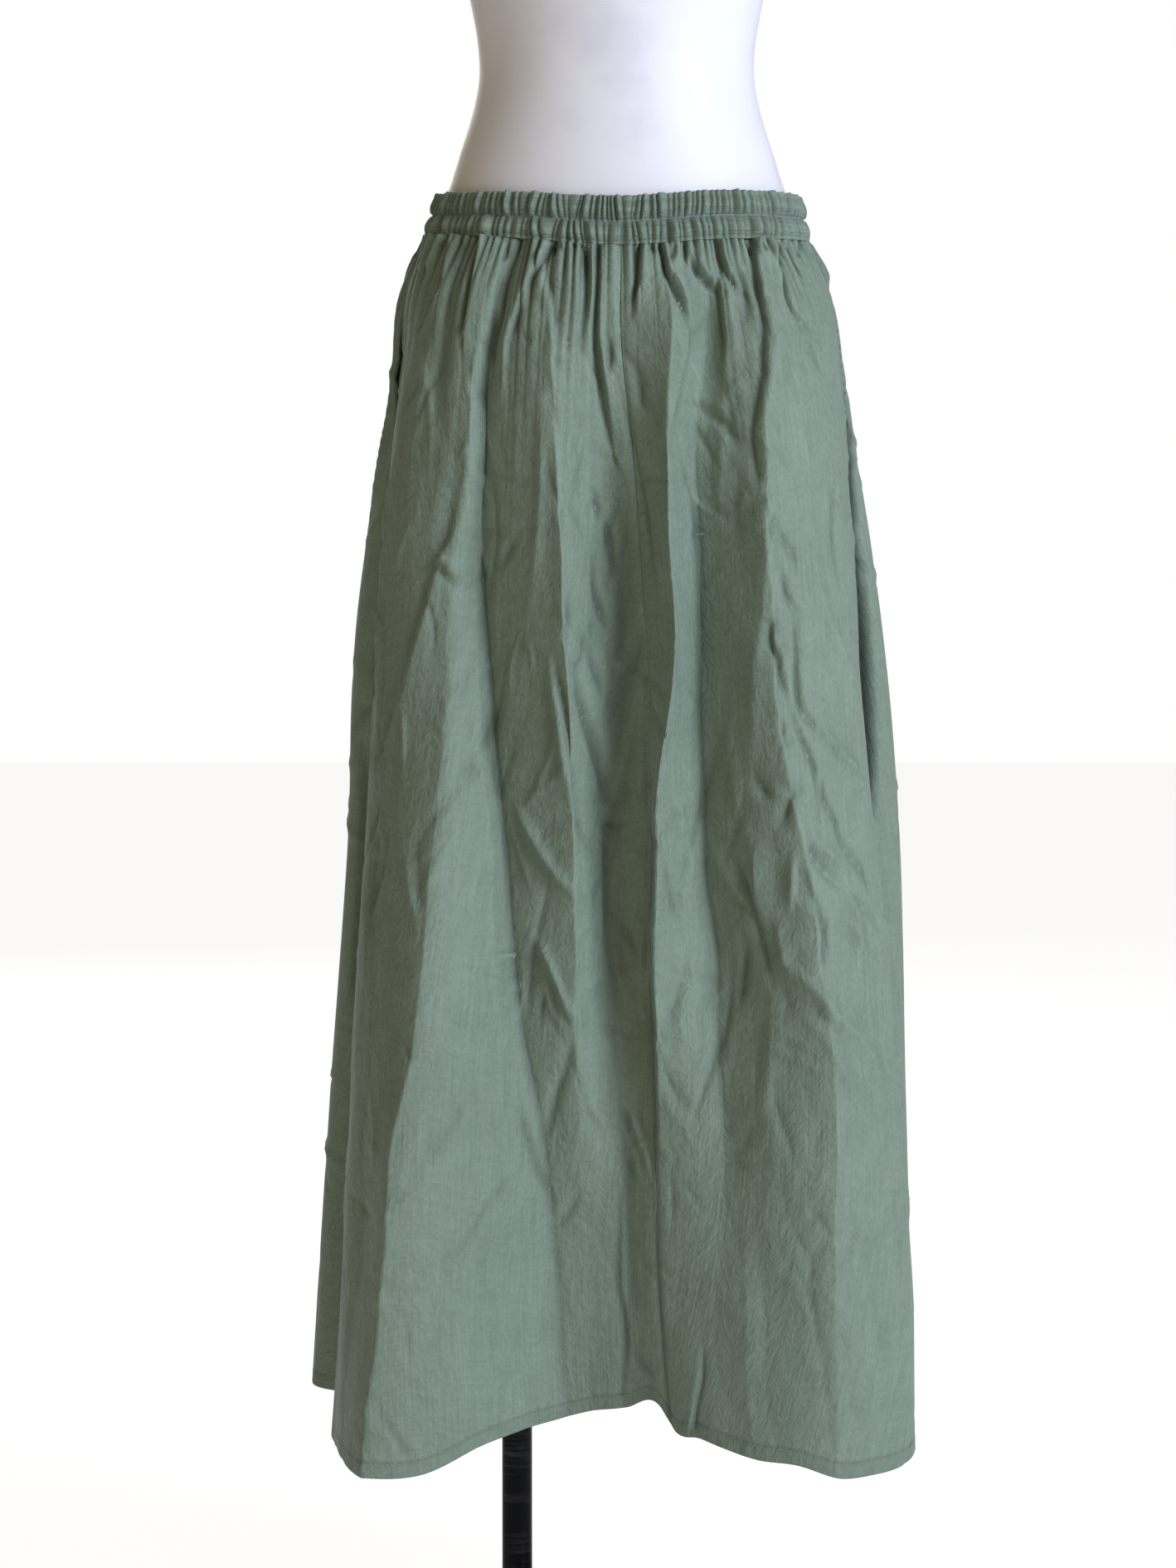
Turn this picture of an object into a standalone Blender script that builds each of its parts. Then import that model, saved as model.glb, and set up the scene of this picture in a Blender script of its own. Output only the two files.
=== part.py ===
"""A-line skirt with a gathered elastic waist, standing on its limbless dress form.

Units are metres, +Z is up and the front faces -Y. The origin is the centre of
the base plate's underside. Angles go round the body from the centre front,
positive towards +X. A drop of 0 is the waist seam and a drop of 1 is the hem.
"""
import math
from collections import namedtuple

import bpy
import numpy as np

MM = 0.001
SEAM_GAP = 0.3 * MM            # clear space between pieces that meet

# ---------------------------------------------------------------- skirt sizes
CLOTH_WALL = 2.0 * MM          # wall of one layer of cloth
HEM_WALL = 3.0 * MM            # wall where the hem is turned up
HEM_DEPTH = 11.0 * MM
HEM_STEP = 0.8 * MM            # slope from the plain wall to the hem's
WAIST_HEIGHT = 1.052           # waist seam, level at the sides
HEM_HEIGHT = 0.200

# Half sizes of the plain ring at each height, before the folds.
Section = namedtuple("Section", "name height left right front back square")
SKIRT_SECTIONS = (
    Section("waist seam", 1.052, 0.1400, 0.1410, 0.1030, 0.1040, 2.00),
    Section("yoke",       1.010, 0.1580, 0.1600, 0.1150, 0.1160, 2.10),
    Section("high hip",   0.960, 0.1650, 0.1705, 0.1220, 0.1250, 2.20),
    Section("hip",        0.900, 0.1750, 0.1800, 0.1270, 0.1350, 2.25),
    Section("thigh",      0.780, 0.1935, 0.1975, 0.1380, 0.1500, 2.35),
    Section("knee",       0.600, 0.2015, 0.2125, 0.1520, 0.1680, 2.45),
    Section("calf",       0.420, 0.2145, 0.2180, 0.1660, 0.1850, 2.50),
    Section("hem",        0.200, 0.2290, 0.2230, 0.1780, 0.2020, 2.50),
)

# Heights at which a fold's place and rise are given.
FOLD_HEIGHTS = (1.052, 0.940, 0.600, 0.200)

# A fold: its angle in degrees at waist, hip, knee and hem; how far it stands
# out (or in, below 0) at hip, knee and hem, in mm; its half widths before and
# after its line, in mm; and its crest, 2 for a round fold, less for a sharp one.
Fold = namedtuple(
    "Fold", "name waist hip knee hem rise_hip rise_knee rise_hem before after crest")
FOLDS = (
    Fold("right side hollow",  84.0,  84.0,  80.0,  84.0,  -8, -29,  -6,  46,  22, 2.0),
    Fold("back right ridge",  112.0, 116.0, 118.0, 120.0,   3,   9,  14,  36,  36, 2.0),
    Fold("back right hollow", 136.0, 138.0, 139.0, 140.0,  -3, -12, -24,  28,  34, 2.0),
    Fold("back centre ridge", 158.0, 162.0, 163.0, 162.0,   4,  10,  16,  40,  36, 1.9),
    Fold("back hollow",       184.0, 185.0, 186.0, 188.0,  -3, -12, -26,  30,  30, 2.0),
    Fold("back left ridge",   208.0, 207.0, 208.0, 210.0,   4,  10,  18,  38,  38, 1.9),
    Fold("back side hollow",  234.0, 232.0, 231.0, 231.0,  -2,  -8, -14,  30,  30, 2.0),
    Fold("left side hollow",  275.0, 276.0, 278.0, 279.0, -10, -29, -40,  20,  44, 2.0),
)

# Heights at which a ridge's or a seam's place is given.
RIDGE_HEIGHTS = (1.052, 0.985, 0.925, 0.86, 0.76, 0.64, 0.52, 0.38, 0.28, 0.2)

# A ridge or valley line down the front: its sharpness at waist and hem, 0 for
# round; and its angle in degrees and push outwards in mm at each of those heights.
Ridge = namedtuple("Ridge", "name sharp angles pushes")
RIDGES = (
    Ridge("left side hollow", (0.0, 0.0),
          (-84.5, -84.5, -84.5, -84.0, -84.0, -84.0, -83.0, -82.0, -81.5, -81.0),
          (0.0, 0.0, 0.0, 0.0, 0.0, 0.0, 0.0, 0.0, 0.0, 0.0)),
    Ridge("left side edge", (0.0, 0.0),
          (-67.3, -73.0, -75.2, -75.7, -76.5, -75.0, -70.5, -66.8, -65.3, -65.0),
          (0.0, -0.1, 4.3, 4.2, -0.5, 6.1, 4.6, 3.0, 2.6, 3.8)),
    Ridge("left hip ridge", (0.9, 0.9),
          (-52.1, -49.1, -51.1, -53.4, -58.4, -62.1, -54.8, -52.0, -51.5, -51.5),
          (0.0, 1.1, -2.1, -1.9, -4.3, 0.8, 15.3, 27.6, 33.6, 35.9)),
    Ridge("left ridge", (-0.4, 1.1),
          (-44.0, -45.8, -46.2, -47.2, -47.2, -44.4, -42.8, -44.3, -44.2, -44.7),
          (0.0, -0.4, -2.5, -5.7, -7.9, 9.9, 33.8, 52.4, 58.4, 61.3)),
    Ridge("left valley", (1.7, 0.3),
          (-40.4, -42.3, -44.0, -43.4, -39.0, -33.0, -27.0, -17.5, -13.8, -11.7),
          (0.0, -9.0, -18.0, -26.0, -35.0, -33.0, -33.0, -39.0, -42.0, -45.0)),
    Ridge("inner left ridge", (1.2, 0.8),
          (-21.9, -22.2, -20.0, -17.6, -14.3, -12.0, -11.6, -8.2, -6.8, -6.0),
          (0.0, 2.8, 3.8, 5.3, -0.6, -12.3, -22.0, -37.0, -41.0, -45.0)),
    Ridge("centre valley", (0.0, 0.0),
          (-5.4, -4.2, -2.3, -1.2, -0.8, -1.0, -0.8, 1.5, 1.6, 1.6),
          (0.0, -12.1, -21.1, -30.6, -41.7, -42.9, -46.0, -37.0, -38.0, -40.0)),
    Ridge("centre seam", (0.6, 0.6),
          (1.4, 1.1, 3.8, 6.4, 8.6, 9.2, 8.4, 9.2, 10.0, 12.2),
          (0.0, -11.2, -19.0, -21.5, -22.4, -31.6, -38.0, -21.5, -19.5, -19.5)),
    Ridge("centre ridge", (1.4, 1.2),
          (18.3, 18.2, 16.0, 15.4, 15.6, 10.0, 9.0, 9.5, 10.6, 12.7),
          (0.0, 5.3, 4.5, 8.7, 7.5, 1.4, -9.0, -17.0, -16.5, -16.5)),
    Ridge("right valley", (0.2, 0.2),
          (37.0, 31.5, 27.6, 26.2, 25.2, 24.6, 25.8, 23.5, 21.8, 20.8),
          (0.0, -14.0, -23.0, -29.0, -36.0, -33.0, -20.0, 6.0, 9.0, 9.0)),
    Ridge("right ridge", (1.1, 0.6),
          (56.5, 47.0, 42.4, 41.1, 39.8, 41.6, 42.7, 41.2, 40.1, 38.8),
          (0.0, 8.3, 10.5, 13.4, 12.8, 26.9, 44.2, 56.0, 59.0, 58.0)),
    Ridge("right shoulder", (0.2, 0.2),
          (68.1, 64.2, 62.8, 61.5, 59.5, 56.6, 54.0, 51.6, 50.2, 49.0),
          (0.0, 3.9, 7.5, 8.1, 5.9, 16.0, 34.0, 54.0, 62.0, 63.0)),
    Ridge("right side edge", (0.0, 0.0),
          (75.7, 75.2, 74.4, 73.1, 72.7, 71.2, 67.4, 64.9, 63.8, 63.9),
          (0.0, 3.9, 1.9, 0.8, -2.1, 1.6, 4.7, 9.0, 8.0, 9.0)),
    Ridge("right side hollow", (0.0, 0.0),
          (84.0, 84.0, 84.0, 84.0, 83.0, 82.0, 81.0, 80.0, 81.0, 84.0),
          (0.0, 0.0, 0.0, 0.0, 0.0, 0.0, 0.0, 0.0, 0.0, 0.0)),
)
NARROWEST = 0.2                # least angle between two lines, in degrees

# Height of the waist seam and of the band's top edge, by angle in degrees.
WaistMark = namedtuple("WaistMark", "angle seam top")
WAIST_LINE = (
    WaistMark(-180, 1.0610, 1.0940), WaistMark(-90, 1.0600, 1.0885), WaistMark(-45, 1.0515, 1.0835),
    WaistMark(0, 1.0445, 1.0785), WaistMark(45, 1.0505, 1.0845), WaistMark(90, 1.0550, 1.0870),
    WaistMark(180, 1.0610, 1.0940),
)

# Height of the hem's edge, by angle in degrees.
HemMark = namedtuple("HemMark", "angle height")
HEM_LINE = (
    HemMark(-180, 0.2010), HemMark(-170, 0.2045), HemMark(-162, 0.1960), HemMark(-152, 0.1880),
    HemMark(-120, 0.1960), HemMark(-90, 0.2060), HemMark(-72, 0.1970), HemMark(-64, 0.1865),
    HemMark(-56, 0.1891), HemMark(-46, 0.1842), HemMark(-38, 0.1836), HemMark(-30, 0.1978),
    HemMark(-22, 0.2055), HemMark(-14, 0.2097), HemMark(-6, 0.2152), HemMark(2, 0.2188),
    HemMark(10, 0.2225), HemMark(13, 0.2075), HemMark(18, 0.2051), HemMark(22, 0.2010),
    HemMark(28, 0.1954), HemMark(34, 0.1936), HemMark(40, 0.1848), HemMark(46, 0.1862),
    HemMark(56, 0.1942), HemMark(66, 0.1785), HemMark(90, 0.1940), HemMark(112, 0.1740),
    HemMark(130, 0.1610), HemMark(147, 0.1715), HemMark(158, 0.1745), HemMark(168, 0.1790),
    HemMark(174, 0.1880), HemMark(180, 0.2010),
)

GATHER_COUNT = 26              # small pleats that fade below the waist seam
GATHER_RISE = 1.6 * MM
GATHER_FADE = 0.10             # drop over which they fade

# Angle of each seam at the ridge heights, in degrees.
CENTRE_SEAM = (1.4, 1.1, 3.8, 6.4, 8.6, 9.2, 8.4, 9.2, 10.0, 12.2)
RIGHT_SEAM = (88.0, 87.4, 86.8, 85.9, 84.1, 81.2, 77.0, 70.0, 61.0, 50.0)
LEFT_SEAM = (272.0, 272.6, 273.1, 273.6, 274.2, 274.8, 275.3, 275.6, 275.8, 276.0)

# Columns of each panel, and the drop of every row of points.
FRONT_COLUMNS = 40
BACK_COLUMNS = 50
ROW_DROPS = (0.0, 0.02, 0.05, 0.09, 0.13, 0.17, 0.22, 0.28, 0.35, 0.42, 0.50, 0.58, 0.68, 0.78, 0.88)

# ------------------------------------------------------------- pocket sizes
MOUTH_TOP = 1.028
MOUTH_BOTTOM = 0.887
MOUTH_OPEN = 7.0 * MM          # how far the seam's edges stand apart
BAG_TOP = 1.031
BAG_BOTTOM = 0.820
BAG_REACH = 0.120              # from the side seam towards the front
BAG_LAYER = 1.0 * MM
BAG_SPACE = 1.2 * MM           # room between the two layers
BAG_INSET = 4.0 * MM           # from the outside of the cloth
BAG_SEAM_MARGIN = 4.0 * MM
BAG_START = 5.0 * MM           # the bag begins this far inside the side seam
BAG_FOOT_SHARE = 0.55          # reach at the rounded foot, as a share of the whole
BAG_COLUMNS = 9
BAG_ROWS = 10

# --------------------------------------------------------------- band sizes
BAND_COLUMNS = 84
# Outer half sizes up the band, which narrows between the rows of elastic.
BandRow = namedtuple("BandRow", "rise left right front back")
BAND_ROWS = (
    BandRow(0.00, 0.1396, 0.1406, 0.1026, 0.1036),
    BandRow(0.25, 0.1385, 0.1402, 0.1028, 0.1037),
    BandRow(0.50, 0.1352, 0.1378, 0.1004, 0.1014),
    BandRow(0.75, 0.1332, 0.1372, 0.1006, 0.1015),
    BandRow(1.00, 0.1308, 0.1348, 0.0988, 0.0997),
)
BAND_WALL = 3.0 * MM

# ---------------------------------------------------------- form and stand
FormSection = namedtuple("FormSection", "name height half_width front back square")
FORM_SECTIONS = (
    FormSection("foot",      0.800, 0.1360, 0.0880, 0.0950, 2.2),
    FormSection("seat",      0.860, 0.1430, 0.0940, 0.1040, 2.2),
    FormSection("hip",       0.930, 0.1470, 0.0990, 0.1080, 2.1),
    FormSection("high hip",  0.980, 0.1460, 0.0985, 0.1050, 2.1),
    FormSection("belly",     1.030, 0.1395, 0.0970, 0.0995, 2.0),
    FormSection("band",      1.070, 0.1310, 0.0940, 0.0950, 2.0),
    FormSection("below waist", 1.110, 0.1180, 0.0885, 0.0880, 2.0),
    FormSection("waist",     1.176, 0.1010, 0.0815, 0.0780, 2.0),
    FormSection("ribs",      1.236, 0.1085, 0.0880, 0.0810, 2.0),
    FormSection("under bust", 1.300, 0.1250, 0.1010, 0.0880, 2.0),
    FormSection("bust",      1.360, 0.1400, 0.1170, 0.0930, 2.1),
    FormSection("chest",     1.420, 0.1520, 0.1050, 0.0930, 2.2),
    FormSection("armhole",   1.465, 0.1600, 0.0850, 0.0870, 2.3),
    FormSection("shoulder",  1.500, 0.1480, 0.0700, 0.0770, 2.3),
    FormSection("slope",     1.525, 0.1130, 0.0600, 0.0690, 2.2),
    FormSection("neck foot", 1.548, 0.0760, 0.0530, 0.0610, 2.0),
    FormSection("neck",      1.575, 0.0570, 0.0510, 0.0560, 2.0),
    FormSection("neck top",  1.620, 0.0520, 0.0500, 0.0520, 2.0),
)
FORM_COLUMNS = 44
FORM_ROWS = 30
NECK_CAP_HEIGHT = 12.0 * MM
# The cap's turned profile, as shares of its radius and height.
CapMark = namedtuple("CapMark", "radius height")
NECK_CAP_PROFILE = (CapMark(1.0, 0.0), CapMark(1.0, 0.5), CapMark(0.92, 0.85), CapMark(0.6, 1.0))

POLE_X = -0.0745
POLE_Y = 0.020
POLE_RADIUS = 11.3 * MM
BASE_RADIUS = 0.180
BASE_HEIGHT = 8.0 * MM
COLLAR_RADIUS = 20.0 * MM
COLLAR_HEIGHT = 26.0 * MM
SOCKET_RADIUS = 26.0 * MM
SOCKET_HEIGHT = 22.0 * MM
EDGE_ROUND = 1.5 * MM
ROUND_COLUMNS = 48


# ------------------------------------------------------------------ helpers
def clear_scene():
    """Remove every object that is already there."""
    for thing in list(bpy.data.objects):
        bpy.data.objects.remove(thing, do_unlink=True)


def material(name, colour, roughness, metallic=0.0):
    """Return a plain Principled material."""
    made = bpy.data.materials.new(name)
    made.use_nodes = True
    shader = made.node_tree.nodes["Principled BSDF"]
    shader.inputs["Base Color"].default_value = (*colour, 1.0)
    shader.inputs["Roughness"].default_value = roughness
    shader.inputs["Metallic"].default_value = metallic
    return made


def add_object(name, points, faces, finish):
    """Make a smooth-shaded mesh object from points and faces."""
    mesh = bpy.data.meshes.new(name)
    mesh.from_pydata([tuple(point) for point in points], [], faces)
    mesh.shade_smooth()
    mesh.set_sharp_from_angle(angle=math.radians(50.0))
    mesh.materials.append(finish)
    made = bpy.data.objects.new(name, mesh)
    bpy.context.scene.collection.objects.link(made)
    return made


def smooth_along(marks, values, at):
    """Smooth curve through values at marks; marks may rise or fall."""
    marks = np.asarray(marks, dtype=float)
    values = np.asarray(values, dtype=float)
    if marks[0] > marks[-1]:
        marks, values = marks[::-1], values[::-1]
    slopes = np.gradient(values, marks)
    at = np.clip(at, marks[0], marks[-1])
    left = np.clip(np.searchsorted(marks, at, side="right") - 1, 0, len(marks) - 2)
    span = marks[left + 1] - marks[left]
    t = (at - marks[left]) / span
    rise = t * t * (3.0 - 2.0 * t)
    bend = t * (1.0 - t)
    return (values[left] * (1.0 - rise) + values[left + 1] * rise
            + span * bend * ((1.0 - t) * slopes[left] - t * slopes[left + 1]))


def ring(angle, left, right, front, back, square):
    """Plan of a squared oval: x, y, outward direction x, y and radius."""
    sine = np.sin(angle)
    cosine = np.cos(angle)
    side = np.where(sine >= 0.0, right, left)
    depth = np.where(cosine >= 0.0, front, back)
    across = np.abs(sine) / side
    deep = np.abs(cosine) / depth
    radius = (across ** square + deep ** square) ** (-1.0 / square)
    out_x = np.sign(sine) * (radius * across) ** (square - 1.0) / side
    out_y = -np.sign(cosine) * (radius * deep) ** (square - 1.0) / depth
    size = np.hypot(out_x, out_y)
    return radius * sine, -radius * cosine, out_x / size, out_y / size, radius


# ---------------------------------------------------------------- the cloth
def angle_at(marks, height):
    """Angle in radians of a seam given in degrees at the ridge heights."""
    return np.radians(smooth_along(RIDGE_HEIGHTS, marks, height))


def turned(angle):
    """The same angle between -pi and pi."""
    return (angle + math.pi) % (2.0 * math.pi) - math.pi


def line_height(line, column, angle):
    """Height of the waist line or the hem line at an angle."""
    angles = [mark.angle for mark in line]
    heights = [getattr(mark, column) for mark in line]
    return smooth_along(angles, heights, np.degrees(turned(angle)))


def fold_push(angle, height, radius):
    """Sum of every fold's push outwards at an angle and height."""
    push = np.zeros_like(angle)
    for fold in FOLDS:
        places = (fold.waist, fold.hip, fold.knee, fold.hem)
        centre = np.radians(smooth_along(FOLD_HEIGHTS, places, height))
        rises = (0.0, fold.rise_hip, fold.rise_knee, fold.rise_hem)
        rise = smooth_along(FOLD_HEIGHTS, rises, height) * MM
        away = turned(angle - centre) * radius
        width = np.where(away < 0.0, fold.before, fold.after) * MM
        push += rise * np.exp(-(np.abs(away) / width) ** fold.crest)
    return push


def ridge_push(angle, height):
    """Push of the front's ridges and valleys, blended from each line to the next."""
    degrees = np.degrees(turned(angle))
    push = np.zeros_like(degrees)
    for low, high in zip(RIDGES[:-1], RIDGES[1:]):
        start = smooth_along(RIDGE_HEIGHTS, low.angles, height)
        end = np.maximum(smooth_along(RIDGE_HEIGHTS, high.angles, height), start + NARROWEST)
        share = (degrees - start) / (end - start)
        inside = (share >= 0.0) & (share < 1.0)
        t = np.clip(share, 0.0, 1.0)
        fall = (WAIST_HEIGHT - height) / (WAIST_HEIGHT - HEM_HEIGHT)
        low_sharp = low.sharp[0] + (low.sharp[1] - low.sharp[0]) * fall
        high_sharp = high.sharp[0] + (high.sharp[1] - high.sharp[0]) * fall
        blend = (t * t * (3.0 - 2.0 * t) + low_sharp * t * (1.0 - t) ** 2
                 - high_sharp * t * t * (1.0 - t))
        from_push = smooth_along(RIDGE_HEIGHTS, low.pushes, height)
        to_push = smooth_along(RIDGE_HEIGHTS, high.pushes, height)
        push = np.where(inside, from_push + (to_push - from_push) * blend, push)
    return push * MM


def skirt_point(angle, drop):
    """Point on the outside of the cloth, as an array of x, y, z."""
    angle, drop = np.broadcast_arrays(np.asarray(angle, float), np.asarray(drop, float))
    height = WAIST_HEIGHT + (HEM_HEIGHT - WAIST_HEIGHT) * drop
    heights = [section.height for section in SKIRT_SECTIONS]
    sizes = [smooth_along(heights, [getattr(section, size) for section in SKIRT_SECTIONS], height)
             for size in ("left", "right", "front", "back", "square")]
    x, y, out_x, out_y, radius = ring(angle, *sizes)
    push = fold_push(angle, height, radius) + ridge_push(angle, height)
    push += GATHER_RISE * np.cos(GATHER_COUNT * angle) * np.exp(-drop / GATHER_FADE)
    waist = line_height(WAIST_LINE, "seam", angle) - SEAM_GAP - WAIST_HEIGHT
    hem = line_height(HEM_LINE, "height", angle) - HEM_HEIGHT
    z = height + waist * (1.0 - drop) + hem * drop ** 3
    return np.stack([x + out_x * push, y + out_y * push, z], axis=-1)


def skirt_normal(angle, drop):
    """Outward direction of the cloth."""
    step = 1e-4
    round_way = skirt_point(angle + step, drop) - skirt_point(angle - step, drop)
    down_way = skirt_point(angle, drop + step) - skirt_point(angle, drop - step)
    normal = np.cross(down_way, round_way)
    return normal / np.linalg.norm(normal, axis=-1, keepdims=True)


def slab(name, angles, drops, outside, inside, finish):
    """Closed wall of cloth between two depths under the skirt's outside.

    angles and drops are grids of the same shape, rows from the top down and
    columns towards +X in front; outside and inside may change along the rows.
    """
    normal = skirt_normal(angles, drops)
    surface = skirt_point(angles, drops)
    rows, columns = angles.shape
    outer = surface - normal * np.reshape(np.broadcast_to(outside, rows), (rows, 1, 1))
    inner = surface - normal * np.reshape(np.broadcast_to(inside, rows), (rows, 1, 1))
    points = np.concatenate([outer.reshape(-1, 3), inner.reshape(-1, 3)])
    half = rows * columns

    def at(row, column, layer):
        return layer * half + row * columns + column

    faces = []
    for row in range(rows - 1):
        for column in range(columns - 1):
            faces.append((at(row, column, 0), at(row + 1, column, 0),
                          at(row + 1, column + 1, 0), at(row, column + 1, 0)))
            faces.append((at(row, column, 1), at(row, column + 1, 1),
                          at(row + 1, column + 1, 1), at(row + 1, column, 1)))
    for row in range(rows - 1):
        last = columns - 1
        faces.append((at(row, 0, 0), at(row, 0, 1), at(row + 1, 0, 1), at(row + 1, 0, 0)))
        faces.append((at(row, last, 0), at(row + 1, last, 0),
                      at(row + 1, last, 1), at(row, last, 1)))
    for column in range(columns - 1):
        last = rows - 1
        faces.append((at(0, column, 0), at(0, column + 1, 0),
                      at(0, column + 1, 1), at(0, column, 1)))
        faces.append((at(last, column, 0), at(last, column, 1),
                      at(last, column + 1, 1), at(last, column + 1, 0)))
    return add_object(name, points, faces, finish)


def mouth_half(height):
    """Half the space between the seam's edges along the pocket mouth."""
    along = (height - MOUTH_BOTTOM) / (MOUTH_TOP - MOUTH_BOTTOM)
    return 0.5 * MOUTH_OPEN * np.sin(np.pi * np.clip(along, 0.0, 1.0))


def panel(name, first_seam, last_seam, columns, finish, mouth_first=False, mouth_last=False):
    """One panel of the skirt between two seams, with its hem turned up."""
    length = WAIST_HEIGHT - HEM_HEIGHT
    hem_top = 1.0 - HEM_DEPTH / length
    drops = np.array(ROW_DROPS + (hem_top - HEM_STEP / length, hem_top, 1.0))
    heights = WAIST_HEIGHT + (HEM_HEIGHT - WAIST_HEIGHT) * drops
    first = angle_at(first_seam, heights)
    last = angle_at(last_seam, heights)
    reach_first = 0.5 * SEAM_GAP + (mouth_half(heights) if mouth_first else 0.0)
    reach_last = 0.5 * SEAM_GAP + (mouth_half(heights) if mouth_last else 0.0)
    step = 1e-3

    def edge(angle, reach):
        ahead = skirt_point(angle + step, drops) - skirt_point(angle - step, drops)
        return reach * 2.0 * step / np.linalg.norm(ahead, axis=-1)

    first = first + edge(first, reach_first)
    last = last - edge(last, reach_last)
    across = np.linspace(0.0, 1.0, columns)
    angles = first[:, None] + (last - first)[:, None] * across[None, :]
    walls = np.where(drops >= hem_top, HEM_WALL, CLOTH_WALL)
    return slab(name, angles, np.repeat(drops[:, None], columns, axis=1), 0.0, walls, finish)


def pocket_bag(name, seam, sign, finish):
    """Flat pocket bag inside the front panel, open at the side seam."""
    def grid(top, bottom, start, reach):
        heights = np.linspace(top, bottom, BAG_ROWS)
        drops = (WAIST_HEIGHT - heights) / (WAIST_HEIGHT - HEM_HEIGHT)
        edge = turned(angle_at(seam, heights))
        radius = np.linalg.norm(skirt_point(edge, drops)[:, :2], axis=-1)
        curve = np.sin(np.pi * np.clip((heights - bottom) / (top - bottom), 0.0, 0.5))
        near = edge - sign * start / radius
        far = edge - sign * reach * (BAG_FOOT_SHARE + (1.0 - BAG_FOOT_SHARE) * curve) / radius
        low, high = (near, far) if sign < 0 else (far, near)
        across = np.linspace(0.0, 1.0, BAG_COLUMNS)
        angles = low[:, None] + (high - low)[:, None] * across[None, :]
        return angles, np.repeat(drops[:, None], BAG_COLUMNS, axis=1)

    space_inset = BAG_INSET + BAG_LAYER
    bag = slab(name, *grid(BAG_TOP, BAG_BOTTOM, BAG_START, BAG_REACH),
               BAG_INSET, space_inset + BAG_SPACE + BAG_LAYER, finish)
    space = slab(name + "_cutter",
                 *grid(MOUTH_TOP, BAG_BOTTOM + BAG_SEAM_MARGIN, 0.0, BAG_REACH - BAG_SEAM_MARGIN),
                 space_inset, space_inset + BAG_SPACE, finish)
    space.hide_render = True
    space.display_type = "WIRE"
    cut = bag.modifiers.new("pocket space", "BOOLEAN")
    cut.operation = "DIFFERENCE"
    cut.object = space
    return bag


def ring_wall(name, outer, inner, finish):
    """Closed ring between an outer and an inner grid of points (row, column, xyz)."""
    rows, columns = outer.shape[:2]
    points = np.concatenate([outer.reshape(-1, 3), inner.reshape(-1, 3)])
    half = rows * columns
    faces = []
    for column in range(columns):
        after = (column + 1) % columns
        for row in range(rows - 1):
            low, high = row * columns, (row + 1) * columns
            faces.append((low + column, low + after, high + after, high + column))
            faces.append((half + low + column, half + high + column,
                          half + high + after, half + low + after))
        top = (rows - 1) * columns
        faces.append((column, half + column, half + after, after))
        faces.append((top + column, top + after, half + top + after, half + top + column))
    return add_object(name, points, faces, finish)


def waistband(finish):
    """Casing of two rows of elastic, standing on the waist seam."""
    angles = np.linspace(0.0, 2.0 * math.pi, BAND_COLUMNS, endpoint=False)
    foot = line_height(WAIST_LINE, "seam", angles)
    tall = line_height(WAIST_LINE, "top", angles) - foot
    outer, inner = [], []
    for row in BAND_ROWS:
        x, y, out_x, out_y, _ = ring(angles, row.left, row.right, row.front, row.back, 2.0)
        height = foot + tall * row.rise
        outer.append(np.stack([x, y, height], axis=-1))
        inner.append(np.stack([x - out_x * BAND_WALL, y - out_y * BAND_WALL, height], axis=-1))
    return ring_wall("waistband", np.array(outer), np.array(inner), finish)


# ------------------------------------------------------------ form and stand
def stacked_solid(name, rings, finish):
    """Closed solid through level rings of points, from the bottom up."""
    rows, columns = rings.shape[:2]
    faces = []
    for row in range(rows - 1):
        for column in range(columns):
            after = (column + 1) % columns
            low, high = row * columns, (row + 1) * columns
            faces.append((low + column, low + after, high + after, high + column))
    faces.append(tuple(range(columns))[::-1])
    faces.append(tuple(range((rows - 1) * columns, rows * columns)))
    return add_object(name, rings.reshape(-1, 3), faces, finish)


def torso(finish):
    """Dress form from its foot under the hips to the top of its neck."""
    heights = np.linspace(FORM_SECTIONS[0].height, FORM_SECTIONS[-1].height, FORM_ROWS)
    angles = np.linspace(0.0, 2.0 * math.pi, FORM_COLUMNS, endpoint=False)
    marks = [section.height for section in FORM_SECTIONS]
    width, front, back, square = [
        smooth_along(marks, [getattr(section, size) for section in FORM_SECTIONS], heights)
        for size in ("half_width", "front", "back", "square")]
    x, y, _, _, _ = ring(angles[None, :], width[:, None], width[:, None], front[:, None],
                         back[:, None], square[:, None])
    z = np.repeat(heights[:, None], FORM_COLUMNS, axis=1)
    return stacked_solid("form_torso", np.stack([x, y, z], axis=-1), finish)


def turned_solid(name, x, y, profile, finish):
    """Solid turned about an upright axis at x, y; profile is (radius, height) rows."""
    angles = np.linspace(0.0, 2.0 * math.pi, ROUND_COLUMNS, endpoint=False)
    rings = [np.stack([x + radius * np.sin(angles), y - radius * np.cos(angles),
                       np.full(ROUND_COLUMNS, height)], axis=-1)
             for radius, height in profile]
    return stacked_solid(name, np.array(rings), finish)


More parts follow.
